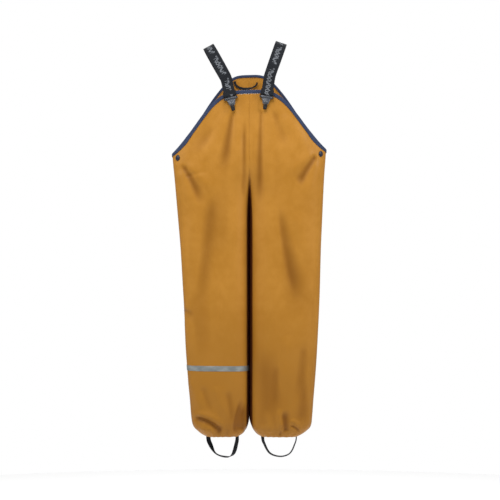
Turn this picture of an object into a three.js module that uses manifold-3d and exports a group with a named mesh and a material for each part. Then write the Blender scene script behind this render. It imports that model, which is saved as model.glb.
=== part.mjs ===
// A child's rain dungarees: coated cloth body on elastic braces with clips, side snaps,
// gathered hems, foot straps, a reflective band and a hanger loop.
//
// Millimetres, +Z up.  The front faces -Y and +X is the wearer's left.  Heights named h are
// measured up from the hem; the origin is where the shoulders carry the braces.
import * as THREE from "three";
import { mergeVertices } from "three/addons/utils/BufferGeometryUtils.js";
import Module from "manifold-3d";

const wasm = await Module();
wasm.setup();

// ---- Cloth and clearances -------------------------------------------------------------
const CLOTH = 1.0; // thickness of the coated cloth
const SEAM_GAP = 0.3; // between two pieces sewn edge to edge
const SEAT_GAP = 0.3; // between two pieces that rest face to face
const FOLD_GAP = 0.3; // between the side tab and the panel that it folds from
const SQUARENESS = 3; // power of the body's rounded section

// ---- Body, from the hem up ------------------------------------------------------------
const HEM_TOP = 16; // where the gathered hem meets the leg
const CROTCH_HEIGHT = 430;
const CORNER_HEIGHT = 591; // top of the side seams
const CORNER_HALF = 161; // half the width there
const BIB_TOP = 716.5;
const BACK_TOP = 757;
const SHOULDER_HEIGHT = 816; // hem to the underside of the braces
const SHOULDER_SKEW = 3.8; // the wearer's left brace lies this much higher, the other lower
const HANG_SKEW = 4.5; // the same for the top of the side seams
const HANG_SKEW_FROM = 450;
const HANG_SKEW_OVER = 140;
const LEAN = { by: 5, from: 600, over: 360 }; // how far the side seams hang to the wearer's left
const BIB_KNEE = 66; // how far out the bib's top edge stays level
const BACK_KNEE = 44;
const EDGE_POWER = 4;
const EDGE_DIP = { by: 7.5, from: 72 }; // hollow of the top edges towards the corners
const FRONT_FOLD = { from: 625, power: 2 }; // where the cloth starts to sink between the legs
const BACK_FOLD = { from: 600, power: 2.5 };

// height, half width, depth of the front half, depth of the back half
const BODY = [
  [-4, 93, 29, 28],
  [1, 103, 34, 33],
  [8, 113, 39, 38],
  [HEM_TOP, 121.5, 43, 42],
  [30, 126, 46, 45],
  [71, 129.5, 48, 47],
  [155, 136, 49, 48],
  [281, 142.5, 52, 52],
  [386, 147, 55, 58],
  [449, 151, 57, 64],
  [533, 156.5, 59, 66],
  [CORNER_HEIGHT, CORNER_HALF, 60, 62],
  [660, 162, 56, 57],
  [BACK_TOP, 162, 50, 50],
];
// height, distance of the leg's inner side from the middle
const INNER_SIDE = [
  [-4, 23],
  [1, 15],
  [8, 8.5],
  [HEM_TOP, 4],
  [30, 1.7],
  [71, 1.1],
  [200, 0.8],
  [CROTCH_HEIGHT, SEAM_GAP / 2],
];
const HEM_SWING = { left: 3, right: 0, over: 44 }; // how far out a hem hangs from its leg
const COLUMNS = 12; // facets from side seam to middle
const ROWS = 16; // facets from hem to binding

// ---- Binding tape folded over the top edges --------------------------------------------
const BINDING = { tall: 7, wall: 0.8, play: 0.45 };

// ---- Hem casing and its elastic ----------------------------------------------------------
const CASING = { low: -4, floor: -2.8, mid: 1, high: 8, turnUp: 13 };
const HEM_ELASTIC = 1.5;

// ---- Reflective band round the wearer's right leg ----------------------------------------
const BAND = { height: 140, tall: 11, thick: 0.4 };

// ---- Side tab and its snap ----------------------------------------------------------------
const TAB = { foldX: 100, foldHeight: 530 };
const SNAP = { x: 148.5, height: 582, capRadius: 6, room: 5.6, postRadius: 1.4, dish: 0.8 };
const UNDERLAP = { low: 560, below: 8, backShare: 0.1, frontShare: 0.36, dipFrom: 0.02, dipOver: 0.14 };

// ---- Braces, 24 mm elastic -----------------------------------------------------------------
const BRACE = { wide: 24, thick: 1.5, doubled: 27, straight: 30, bendOver: 16, flat: 10, sewn: 45 };
const BRACES = {
  left: { side: 1, x: 36.6, clipTilt: 8.6, tilt: 18.6, backTilt: 20.4 },
  right: { side: -1, x: 39.6, clipTilt: 12.8, tilt: 28.4, backTilt: 30.2 },
};
const BRACE_ARC_POWER = 2.2; // how square the brace runs over the shoulder

// ---- Clip -------------------------------------------------------------------------------
const CLIP = {
  drop: 8, // bar below the top of the binding
  barRadius: 1.3,
  pinRadius: 1,
  pinDrop: 6.2,
  armWall: 1.2,
  plate: 1,
  plateLong: 20,
  hubRadius: 2.6,
  leverHalf: 9.2, // half the lever's width below its hub
  leverWall: 1.2,
  metalLong: 21,
  tipLong: 33,
  tongueHalf: 2.4,
  tipHalf: 3.8,
};

// ---- Foot straps, 10 mm elastic -----------------------------------------------------------
const FOOT_STRAP = { wide: 10, thick: 1.3, tuck: 0.5, inset: 2.3 };
const FOOT_STRAPS = {
  left: { lowX: 66, low: -47, twist: 24 },
  right: { lowX: -46, low: -48, twist: -26 },
};

// ---- Hanger loop ------------------------------------------------------------------------
const HANGER = { from: -31, to: 17, endHeight: 745, low: 729, wide: 5, thick: 1.2 };

// ---- Finishes ---------------------------------------------------------------------------
const finish = (color, roughness, metalness = 0) =>
  new THREE.MeshStandardMaterial({ color, roughness, metalness });
const OCHRE = () => finish(0xb8833a, 0.45);
const NAVY = () => finish(0x363c58, 0.8);
const ELASTIC = () => finish(0x1e2128, 0.85);
const GUNMETAL = () => finish(0x6b7074, 0.35, 1);
const BLACK_PLASTIC = () => finish(0x101114, 0.4);
const REFLECTIVE = () => finish(0x8a9090, 0.35);

// ---- Small helpers -----------------------------------------------------------------------
const V = (x, y, z) => new THREE.Vector3(x, y, z);
const radians = THREE.MathUtils.degToRad;
const FRONT = -1;
const BACK = 1;

/** 0 below 0, 1 above 1 and a smooth step between. */
function smooth(t) {
  const c = Math.min(1, Math.max(0, t));
  return c * c * (3 - 2 * c);
}

/** Reads column `k` of a table of heights at `h`, as a smooth curve through its rows. */
function along(table, h, k) {
  const last = table.length - 1;
  if (h <= table[0][0]) return table[0][k];
  if (h >= table[last][0]) return table[last][k];
  const i = table.findIndex((row) => row[0] > h) - 1;
  const slope = (j) => {
    const a = table[Math.max(0, j - 1)];
    const b = table[Math.min(last, j + 1)];
    return (b[k] - a[k]) / (b[0] - a[0]);
  };
  const step = table[i + 1][0] - table[i][0];
  const t = (h - table[i][0]) / step;
  const ease = t * t * (3 - 2 * t);
  const start = t * (1 - t) * (1 - t) * step * slope(i);
  const end = t * t * (t - 1) * step * slope(i + 1);
  return table[i][k] * (1 - ease) + table[i + 1][k] * ease + start + end;
}

/** Height of a top edge above the hem, `x` away from the middle. */
function edgeHeight(face, x) {
  const [top, knee] = face === FRONT ? [BIB_TOP, BIB_KNEE] : [BACK_TOP, BACK_KNEE];
  const fall = (d) => (d ** EDGE_POWER + knee ** EDGE_POWER) ** (1 / EDGE_POWER) - knee;
  const t = Math.min(1, Math.max(0, (Math.abs(x) - EDGE_DIP.from) / (CORNER_HALF - EDGE_DIP.from)));
  const hollow = (EDGE_DIP.by * t * t * (1 - t) * 27) / 4;
  return top - ((top - CORNER_HEIGHT) * fall(Math.abs(x))) / fall(CORNER_HALF) - hollow;
}

/** How far the cloth has sunk between the legs at height h, from 0 to 1. */
function recess(face, h) {
  const fold = face === FRONT ? FRONT_FOLD : BACK_FOLD;
  return smooth((fold.from - h) / (fold.from - CROTCH_HEIGHT)) ** fold.power;
}

/** The cloth's outer face: u runs from 0 at the side seam to 1 at the middle or inseam. */
function cloth(side, face, u, h) {
  const sunk = recess(face, h);
  const overlap = (1 - (1 - sunk) ** SQUARENESS) ** (1 / SQUARENESS);
  const inner = Math.max(SEAM_GAP / 2, along(INNER_SIDE, h, 1));
  const leant = side * LEAN.by * smooth((LEAN.from - h) / LEAN.over);
  const half = (along(BODY, h, 1) + leant - inner) / (1 + overlap);
  const angle = Math.max(0, u) * (Math.PI / 2 + Math.atan2(overlap, 1 - sunk));
  const c = Math.cos(angle);
  const s = Math.sin(angle);
  const r = (Math.abs(c) ** SQUARENESS + Math.abs(s) ** SQUARENESS) ** (-1 / SQUARENESS);
  const swing = side > 0 ? HEM_SWING.left : HEM_SWING.right;
  const hung = swing * smooth((HEM_SWING.over + CASING.low - h) / HEM_SWING.over);
  const x = side * (inner + hung + half * (overlap + c * r));
  const depth = along(BODY, h, face === FRONT ? 2 : 3);
  const lift = HANG_SKEW * (x / CORNER_HALF) * smooth((h - HANG_SKEW_FROM) / HANG_SKEW_OVER);
  return V(x, face * (SEAM_GAP / 2 + depth * s * r), h - SHOULDER_HEIGHT + lift);
}

/** Outward direction of the cloth at u, h. */
function outward(side, face, u, h) {
  const e = 1e-3;
  const across = cloth(side, face, u + e, h).sub(cloth(side, face, Math.max(0, u - e), h));
  const up = cloth(side, face, u, h + 1).sub(cloth(side, face, u, h - 1));
  return across.cross(up).multiplyScalar(side * face).normalize();
}

/** A point `off` outside the cloth's outer face, or inside it where off is negative. */
const offCloth = (side, face, u, h, off) =>
  cloth(side, face, u, h).addScaledVector(outward(side, face, u, h), off);

/** Height of the top edge on column u. */
function topOf(side, face, u) {
  let h = CORNER_HEIGHT;
  for (let i = 0; i < 12; i += 1) h = edgeHeight(face, cloth(side, face, u, h).x);
  return h;
}

/** Column u at height h whose front-view distance from the middle is x. */
function columnAt(side, face, x, h) {
  let low = 0;
  let high = 0.98;
  for (let i = 0; i < 40; i += 1) {
    const u = (low + high) / 2;
    if (Math.abs(cloth(side, face, u, h).x) > x) low = u;
    else high = u;
  }
  return (low + high) / 2;
}

/** Triangles between the points of a grid; wrapI and wrapJ close it round on itself. */
function gridFaces(grid, wrapI, wrapJ, faces) {
  const rows = grid.length;
  const cols = grid[0].length;
  for (let i = 0; i < rows - (wrapI ? 0 : 1); i += 1) {
    for (let j = 0; j < cols - (wrapJ ? 0 : 1); j += 1) {
      const a = grid[i][j];
      const b = grid[(i + 1) % rows][j];
      const c = grid[(i + 1) % rows][(j + 1) % cols];
      const d = grid[i][(j + 1) % cols];
      faces.push([a, b, c], [a, c, d]);
    }
  }
}

/** Triangles to a geometry whose faces point out. */
function bodyOf(faces) {
  let volume = 0;
  for (const [a, b, c] of faces) volume += a.dot(b.clone().cross(c));
  const out = volume < 0 ? faces.map(([a, b, c]) => [a, c, b]) : faces;
  const geometry = new THREE.BufferGeometry();
  const values = out.flat().flatMap((p) => [p.x, p.y, p.z]);
  geometry.setAttribute("position", new THREE.Float32BufferAttribute(values, 3));
  geometry.computeVertexNormals();
  return geometry;
}

/** A wall between two matching grids of points, closed all round its edge. */
function wall(outer, inner) {
  const faces = [];
  gridFaces(outer, false, false, faces);
  gridFaces(inner.map((row) => [...row].reverse()), false, false, faces);
  const last = outer.length - 1;
  const end = outer[0].length - 1;
  const edge = (grid) => [
    ...grid[0],
    ...grid.slice(1).map((row) => row[end]),
    ...grid[last].slice(0, end).reverse(),
    ...grid.slice(1, last).map((row) => row[0]).reverse(),
  ];
  gridFaces([edge(inner), edge(outer)], false, true, faces);
  return bodyOf(faces);
}

/** Carries a closed profile along frames {at, n, e}; each profile point is [along n, along e]. */
function sweep(profile, frames) {
  const flat = profile.map(([n, e]) => new THREE.Vector2(n, e));
  if (THREE.ShapeUtils.isClockWise(flat)) flat.reverse();
  const grid = frames.map((f) => flat.map((p) =>
    f.at.clone().addScaledVector(f.n, p.x).addScaledVector(f.e, p.y)));
  const faces = [];
  gridFaces(grid, false, true, faces);
  const first = grid[0];
  const last = grid[grid.length - 1];
  for (const [a, b, c] of THREE.ShapeUtils.triangulateShape(flat, [])) {
    faces.push([first[a], first[b], first[c]], [last[a], last[c], last[b]]);
  }
  return bodyOf(faces);
}

/** A geometry as a solid that can be joined and cut. */
function solid(geometry) {
  const bare = new THREE.BufferGeometry();
  bare.setAttribute("position", geometry.getAttribute("position").clone());
  if (geometry.index) bare.setIndex(geometry.index.clone());
  const merged = mergeVertices(bare, 1e-4);
  return new wasm.Manifold(new wasm.Mesh({
    numProp: 3,
    vertProperties: new Float32Array(merged.getAttribute("position").array),
    triVerts: new Uint32Array(merged.index.array),
  }));
}

/** The solid back as a geometry. */
function geometryOf(manifold) {
  const mesh = manifold.getMesh();
  const geometry = new THREE.BufferGeometry();
  geometry.setAttribute("position", new THREE.Float32BufferAttribute(mesh.vertProperties, 3));
  geometry.setIndex(new THREE.BufferAttribute(new Uint32Array(mesh.triVerts), 1));
  geometry.computeVertexNormals();
  return geometry;
}

/** A box between two corners. */
function box([x0, y0, z0], [x1, y1, z1]) {
  const geometry = new THREE.BoxGeometry(x1 - x0, y1 - y0, z1 - z0);
  geometry.translate((x0 + x1) / 2, (y0 + y1) / 2, (z0 + z1) / 2);
  return geometry;
}

/** A rod of radius r along local X from -half to half, its axis at (y, z). */
function rod(r, half, y, z, sides = 16) {
  const geometry = new THREE.CylinderGeometry(r, r, 2 * half, sides);
  geometry.rotateZ(Math.PI / 2);
  geometry.translate(0, y, z);
  return geometry;
}

const garment = new THREE.Group();
const sides = { left: 1, right: -1 };

/** Adds one named piece. */
function add(name, geometry, material, parent = garment) {
  const mesh = new THREE.Mesh(geometry, material);
  mesh.name = name;
  parent.add(mesh);
}

// ---- Panels --------------------------------------------------------------------------------
/** Outer and inner grids of one panel, from the hem to its top edge. */
function panel(side, face) {
  const outer = [];
  const inner = [];
  for (let j = 0; j <= ROWS + 1; j += 1) {
    const rowOut = [];
    const rowIn = [];
    for (let i = 0; i <= COLUMNS; i += 1) {
      const u = i / COLUMNS;
      const low = HEM_TOP + SEAM_GAP;
      const top = topOf(side, face, u);
      const h = j > ROWS ? top : low + (top - bindingDrop(side, face, i) - low) * (j / ROWS);
      rowOut.push(cloth(side, face, u, h));
      rowIn.push(offCloth(side, face, u, h, -CLOTH));
    }
    outer.push(rowOut);
    inner.push(rowIn);
  }
  return wall(outer, inner);
}

/** Everything beyond the tab's fold, moved `gap` away from it, as a block. */
function beyondFold(side, gap) {
  const reach = 400;
  const fold = tabFold(side);
  const block = new THREE.BoxGeometry(reach, reach, reach);
  const turn = new THREE.Matrix4().makeBasis(fold.out.clone().cross(fold.away), fold.out, fold.away);
  block.applyMatrix4(turn);
  const move = fold.middle.clone().addScaledVector(fold.away, reach / 2 + gap);
  block.translate(move.x, move.y, move.z);
  return solid(block);
}

/** The tab's fold: its middle and directions along it, outward and away to the tab. */
function tabFold(side) {
  const edge = edgeHeight(FRONT, TAB.foldX);
  const top = cloth(side, FRONT, columnAt(side, FRONT, TAB.foldX, edge), edge);
  const low = cloth(side, FRONT, 0, TAB.foldHeight);
  const line = top.clone().sub(low).normalize();
  const away = line.clone().cross(V(0, FRONT, 0)).multiplyScalar(side).normalize();
  const out = away.clone().cross(line).multiplyScalar(side);
  return { middle: top.add(low).multiplyScalar(0.5), line, out, away };
}

/** A short upright cutter through the cloth at the snap. */
function snapHole(side, radius) {
  const hole = new THREE.CylinderGeometry(radius, radius, 5 * SNAP.room, 12);
  hole.rotateX(Math.PI / 2);
  hole.applyMatrix4(snapPlace(side));
  return solid(hole);
}

/** Places local +Z outward at the snap, on the facet of cloth that carries it. */
function snapPlace(side) {
  const u = columnAt(side, FRONT, SNAP.x, SNAP.height);
  const i = Math.floor(u * COLUMNS);
  const near = cloth(side, FRONT, i / COLUMNS, SNAP.height);
  const far = cloth(side, FRONT, (i + 1) / COLUMNS, SNAP.height);
  const z = outward(side, FRONT, u, SNAP.height);
  const x = V(0, 0, 1).cross(z).normalize();
  const at = near.lerp(far, u * COLUMNS - i);
  return new THREE.Matrix4().makeBasis(x, z.clone().cross(x), z).setPosition(at);
}

// ---- Binding --------------------------------------------------------------------------------
/** Point i along a top edge; past the middle it lies on the other half. */
function edgePoint(side, face, i) {
  const over = i > COLUMNS;
  const half = over ? -side : side;
  const u = Math.max(0, over ? 2 * COLUMNS - i : i) / COLUMNS;
  return cloth(half, face, u, topOf(half, face, u));
}

/** How far down its column the binding reaches, which is further where the edge slopes. */
function bindingDrop(side, face, i) {
  const run = edgePoint(side, face, i + 1).sub(edgePoint(side, face, i - 1)).normalize();
  return BINDING.tall / Math.sqrt(1 - run.z ** 2);
}

/** Frame for the binding on column i: n points outward, and e up the cloth. */
function edgeFrame(side, face, i) {
  const u = i / COLUMNS;
  const h = topOf(side, face, u);
  const down = bindingDrop(side, face, i);
  const at = cloth(side, face, u, h);
  const e = at.clone().sub(cloth(side, face, u, h - down)).divideScalar(BINDING.tall);
  if (i === COLUMNS) at.x = 0;
  return { at, n: outward(side, face, u, h - down / 2), e };
}

const bindingOut = BINDING.play + BINDING.wall;
const bindingLow = bindingOut - BINDING.tall;
const BINDING_PROFILE = [
  [bindingOut, bindingLow],
  [bindingOut, bindingOut],
  [-CLOTH - bindingOut, bindingOut],
  [-CLOTH - bindingOut, bindingLow],
  [-CLOTH - BINDING.play, bindingLow],
  [-CLOTH - BINDING.play, BINDING.play],
  [BINDING.play, BINDING.play],
  [BINDING.play, bindingLow],
];

/** Binding over the whole top edge of the front or the back, from side seam to side seam. */
function binding(face) {
  const frames = [];
  for (let i = 0; i <= COLUMNS; i += 1) frames.push(edgeFrame(1, face, i));
  for (let i = COLUMNS - 1; i >= 0; i -= 1) frames.push(edgeFrame(-1, face, i));
  return sweep(BINDING_PROFILE, frames);
}

const frontBinding = solid(binding(FRONT));
let bibBinding = frontBinding;
for (const [name, side] of Object.entries(sides)) {
  const whole = solid(panel(side, FRONT));
  const tab = beyondFold(side, FOLD_GAP / 2);
  const rest = beyondFold(side, -FOLD_GAP / 2);
  const hole = snapHole(side, SNAP.postRadius + SEAT_GAP);
  add(`${name}_front_panel`, geometryOf(whole.subtract(rest)), OCHRE());
  add(`${name}_side_tab`, geometryOf(whole.intersect(tab).subtract(hole)), OCHRE());
  add(`${name}_back_panel`, panel(side, BACK), OCHRE());
  add(`${name}_tab_binding`, geometryOf(frontBinding.intersect(tab)), NAVY());
  bibBinding = bibBinding.subtract(rest);
}
add("bib_binding", geometryOf(bibBinding), NAVY());
add("back_binding", binding(BACK), NAVY());

// ---- Underlap and snap -----------------------------------------------------------------------
/** The strip behind the side seam that carries the stud. */
function underlap(side) {
  const depthAt = (share) => {
    const t = smooth((share - UNDERLAP.dipFrom) / UNDERLAP.dipOver);
    return CLOTH + SEAT_GAP + (SNAP.room - SEAT_GAP) * t;
  };
  const count = 8;
  const outer = [[], []];
  const inner = [[], []];
  for (let i = 0; i <= count; i += 1) {
    const share = -UNDERLAP.backShare + ((UNDERLAP.backShare + UNDERLAP.frontShare) * i) / count;
    const face = share < 0 ? BACK : FRONT;
    const u = Math.abs(share);
    const heights = [UNDERLAP.low, topOf(side, face, u) - UNDERLAP.below];
    heights.forEach((h, j) => {
      outer[j].push(offCloth(side, face, u, h, -depthAt(share)));
      inner[j].push(offCloth(side, face, u, h, -depthAt(share) - CLOTH));
    });
  }
  return wall(outer, inner);
}

/** Turned piece from a profile of [radius, height], closed on the axis or on itself. */
function turned(profile, segments = 12) {
  const points = profile.map(([r, z]) => new THREE.Vector2(r, z));
  const onAxis = profile[0][0] === 0;
  if (!onAxis) points.push(points[0].clone());
  const geometry = new THREE.LatheGeometry(points, segments);
  geometry.rotateX(Math.PI / 2);
  return geometry;
}

const socketTop = -CLOTH - SEAT_GAP - SNAP.dish;
const socketLow = socketTop - 2.4;
const underlapTop = -CLOTH - SNAP.room;
const underlapLow = underlapTop - CLOTH;
const baseTop = underlapLow - SEAT_GAP - SNAP.dish;
const boreRadius = SNAP.postRadius + SEAT_GAP;
const studPost = SNAP.postRadius - 0.2;
const CAP_PROFILE = [
  [0, socketTop - 0.5],
  [SNAP.postRadius, socketTop - 0.5],
  [SNAP.postRadius, SEAT_GAP],
  [SNAP.capRadius, SEAT_GAP],
  [SNAP.capRadius, 0.7],
  [SNAP.capRadius * 0.9, 1.4],
  [SNAP.capRadius * 0.55, 2],
  [0, 2.2],
];
const SOCKET_PROFILE = [
  [boreRadius, socketTop],
  [boreRadius, socketTop - 0.6],
  [3.2, socketTop - 0.6],
  [3.2, socketLow],
  [4.7, socketLow],
  [5, socketLow + 0.3],
  [5, socketTop],
];
const STUD_PROFILE = [
  [studPost + SEAT_GAP, underlapTop + SEAT_GAP],
  [5, underlapTop + SEAT_GAP],
  [5, underlapTop + 1],
  [2.6, underlapTop + 1],
  [2.6, socketTop - 1.3],
  [2.2, socketTop - 1],
  [studPost + SEAT_GAP, socketTop - 1],
];
const BASE_PROFILE = [
  [0, baseTop - 0.9],
  [4.2, baseTop - 0.8],
  [4.6, baseTop - 0.4],
  [4.6, baseTop],
  [studPost, baseTop],
  [studPost, socketTop - 1.6],
  [0, socketTop - 1.6],
];

for (const [name, side] of Object.entries(sides)) {
  const hole = snapHole(side, studPost + SEAT_GAP);
  add(`${name}_side_underlap`, geometryOf(solid(underlap(side)).subtract(hole)), OCHRE());
  const place = snapPlace(side);
  add(`${name}_snap_cap`, turned(CAP_PROFILE, 20).applyMatrix4(place), NAVY());
  add(`${name}_snap_socket`, turned(SOCKET_PROFILE).applyMatrix4(place), GUNMETAL());
  add(`${name}_snap_stud`, turned(STUD_PROFILE).applyMatrix4(place), GUNMETAL());
  add(`${name}_snap_base`, turned(BASE_PROFILE).applyMatrix4(place), NAVY());
}

// ---- Hems ------------------------------------------------------------------------------------
/** One ring of points round a leg at height h, `off` outside the cloth. */
function legRing(side, h, off) {
  const ring = [];
  for (let i = 0; i < COLUMNS; i += 1) ring.push(offCloth(side, FRONT, i / COLUMNS, h, off));
  for (let i = COLUMNS; i > 0; i -= 1) ring.push(offCloth(side, BACK, i / COLUMNS, h, off));
  return ring;
}

/** A body that runs round a leg with the profile [height, off] as its section. */
function roundLeg(side, profile) {
  const faces = [];
  gridFaces(profile.map(([h, off]) => legRing(side, h, off)), true, true, faces);
  return bodyOf(faces);
}

const casingInner = -CLOTH - SEAT_GAP - HEM_ELASTIC - SEAT_GAP;
const CASING_PROFILE = [
  [HEM_TOP, 0],
  [CASING.high, 0],
  [CASING.mid, 0],
  [CASING.low, 0],
  [CASING.low, casingInner - CLOTH],
  [CASING.mid, casingInner - CLOTH],
  [CASING.high, casingInner - CLOTH],
  [CASING.turnUp, casingInner - CLOTH],
  [CASING.turnUp, casingInner],
  [CASING.high, casingInner],
  [CASING.mid, casingInner],
  [CASING.floor, casingInner],
  [CASING.floor, -CLOTH],
  [CASING.mid, -CLOTH],
  [CASING.high, -CLOTH],
  [HEM_TOP, -CLOTH],
];
const ELASTIC_PROFILE = [
  [CASING.high, -CLOTH - SEAT_GAP],
  [CASING.mid, -CLOTH - SEAT_GAP],
  [CASING.mid, -CLOTH - SEAT_GAP - HEM_ELASTIC],
  [CASING.high, -CLOTH - SEAT_GAP - HEM_ELASTIC],
];
const BAND_PROFILE = [
  [BAND.height + BAND.tall / 2, SEAT_GAP],
  [BAND.height - BAND.tall / 2, SEAT_GAP],
  [BAND.height - BAND.tall / 2, SEAT_GAP + BAND.thick],
  [BAND.height + BAND.tall / 2, SEAT_GAP + BAND.thick],
];
for (const [name, side] of Object.entries(sides)) {
  add(`${name}_hem_casing`, roundLeg(side, CASING_PROFILE), OCHRE());
  add(`${name}_hem_elastic`, roundLeg(side, ELASTIC_PROFILE), ELASTIC());
}
add("right_leg_reflective_band", roundLeg(-1, BAND_PROFILE), REFLECTIVE());

// ---- Foot straps -----------------------------------------------------------------------------
/** Ribbon along frames {at, across, half}; `run` sets the way it runs where it lies flat. */
function ribbon(frames, thick) {
  const last = frames.length - 1;
  const grid = frames.map(({ at, across, half, run }, i) => {
    const next = frames[Math.min(last, i + 1)].at;
    const way = run ?? next.clone().sub(frames[Math.max(0, i - 1)].at).normalize();
    const e = across.clone().addScaledVector(way, -across.dot(way)).normalize();
    const n = way.clone().cross(e);
    return [[-1, -1], [1, -1], [1, 1], [-1, 1]].map(([a, b]) =>
      at.clone().addScaledVector(n, (a * thick) / 2).addScaledVector(e, b * half));
  });
  const faces = [];
  gridFaces(grid, false, true, faces);
  const [a, b, c, d] = grid[0];
  const [p, q, r, s] = grid[last];
  faces.push([a, b, c], [a, c, d], [p, r, q], [p, s, r]);
  return bodyOf(faces);
}

/** A strap under the foot, hanging from the hem as a U with rounded ends. */
function footStrap(side, size) {
  const half = FOOT_STRAP.wide / 2;
  const swing = side > 0 ? HEM_SWING.left : HEM_SWING.right;
  const inner = side * (INNER_SIDE[0][1] + swing + FOOT_STRAP.inset);
  const outer = side * (BODY[0][1] + side * LEAN.by + swing - FOOT_STRAP.inset);
  const top = CASING.low + FOOT_STRAP.tuck - SHOULDER_HEIGHT;
  const axis = top - half;
  const z = (h) => h - SHOULDER_HEIGHT;
  const curve = new THREE.CatmullRomCurve3([
    V(outer, 0, top),
    V(outer, 0, axis),
    V(outer - 0.06 * (outer - size.lowX), 0, axis - 9),
    V(size.lowX + 0.6 * (outer - size.lowX), 0, z(size.low + 7)),
    V(size.lowX, 0, z(size.low)),
    V(size.lowX + 0.6 * (inner - size.lowX), 0, z(size.low + 7)),
    V(inner - 0.06 * (inner - size.lowX), 0, axis - 9),
    V(inner, 0, axis),
    V(inner, 0, top),
  ], false, "centripetal");
  const steps = 32;
  const points = curve.getSpacedPoints(steps);
  const length = curve.getLength();
  const frames = points.map((at, i) => {
    const end = Math.min(i, steps - i) * (length / steps);
    const rounded = Math.sqrt(Math.max(0, half ** 2 - Math.max(0, half - end) ** 2));
    const turn = radians(size.twist) * Math.sin((Math.PI * i) / steps) ** 2;
    const across = V(Math.sin(turn), Math.cos(turn), Math.sin(turn) / 2);
    return { at, across, half: Math.max(FOOT_STRAP.thick / 2, rounded) };
  });
  return ribbon(frames, FOOT_STRAP.thick);
}
for (const [name, size] of Object.entries(FOOT_STRAPS)) {
  add(`${name}_foot_strap`, footStrap(name === "left" ? 1 : -1, size), ELASTIC());
}

// ---- Hanger loop -----------------------------------------------------------------------------
{
  const { from, to, endHeight, low, wide, thick } = HANGER;
  const inside = CLOTH + bindingOut + SEAT_GAP + thick / 2;
  const middle = (from + to) / 2;
  const halfWide = (to - from) / 2;
  const frames = [];
  const steps = 16;
  for (let i = 0; i <= steps; i += 1) {
    const t = (Math.PI * i) / steps;
    const x = middle - halfWide * Math.cos(t);
    const h = endHeight - (endHeight - low) * Math.sin(t) ** 0.8;
    const side = x < 0 ? -1 : 1;
    const { y } = offCloth(side, BACK, columnAt(side, BACK, Math.abs(x), h), h, -inside);
    const at = V(x, y, h - SHOULDER_HEIGHT);
    frames.push({ at, across: V(Math.cos(t), 0, Math.sin(t)), half: wide / 2 });
  }
  add("hanger_loop", ribbon(frames, thick), ELASTIC());
}

// ---- Clips -----------------------------------------------------------------------------------
/** Local frame at a clip's bar: +X to the wearer's left, +Y inward, +Z up the clip. */
function clipPlace(brace) {
  const edge = edgeHeight(FRONT, brace.x);
  const h = edge + bindingOut - CLIP.drop;
  const u = columnAt(brace.side, FRONT, brace.x, h);
  const out = outward(brace.side, FRONT, u, h);
  const lean = radians(brace.clipTilt) * brace.side;
  const up = V(Math.sin(lean), 0, Math.cos(lean));
  up.addScaledVector(out, -up.dot(out)).normalize();
  const inward = out.clone().negate();
  const across = inward.clone().cross(up).normalize();
  const at = cloth(brace.side, FRONT, u, h);
  return new THREE.Matrix4().makeBasis(across, inward, up).setPosition(at);
}

const strapNear = -(bindingOut + SEAT_GAP); // brace layer next to the cloth
const strapMid = strapNear - BRACE.thick / 2;
const barY = strapNear - BRACE.thick - SEAT_GAP - CLIP.barRadius;
const wrapRadius = CLIP.barRadius + SEAT_GAP + BRACE.thick / 2;
const armIn = BRACE.wide / 2 + 0.4;
const armOut = armIn + CLIP.armWall;
const throatBack = CLOTH + bindingOut + 1.2;
const bridgeLow = CLIP.drop + SEAT_GAP;
const bridgeTop = bridgeLow + 1.5;
const armFront = barY - 2.6;

/** The clip's frame: back plate, two arms over the cloth's edge and the brace's bar. */
function clipFrame() {
  const plateBack = throatBack + CLIP.plate;
  let frame = solid(box([-armOut, throatBack, -CLIP.plateLong], [armOut, plateBack, bridgeTop]));
  for (const s of [-1, 1]) {
    const [x0, x1] = s < 0 ? [-armOut, -armIn] : [armIn, armOut];
    frame = frame.add(solid(box([x0, strapNear - 1, bridgeLow], [x1, plateBack, bridgeTop])));
    frame = frame.add(solid(box([x0, armFront, -CLIP.pinDrop - 3], [x1, strapNear, bridgeTop])));
  }
  frame = frame.add(solid(rod(CLIP.barRadius, armOut, barY, 0, 12)));
  return frame.subtract(solid(rod(CLIP.pinRadius + SEAT_GAP, armOut + 2, barY, -CLIP.pinDrop)));
}

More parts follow.
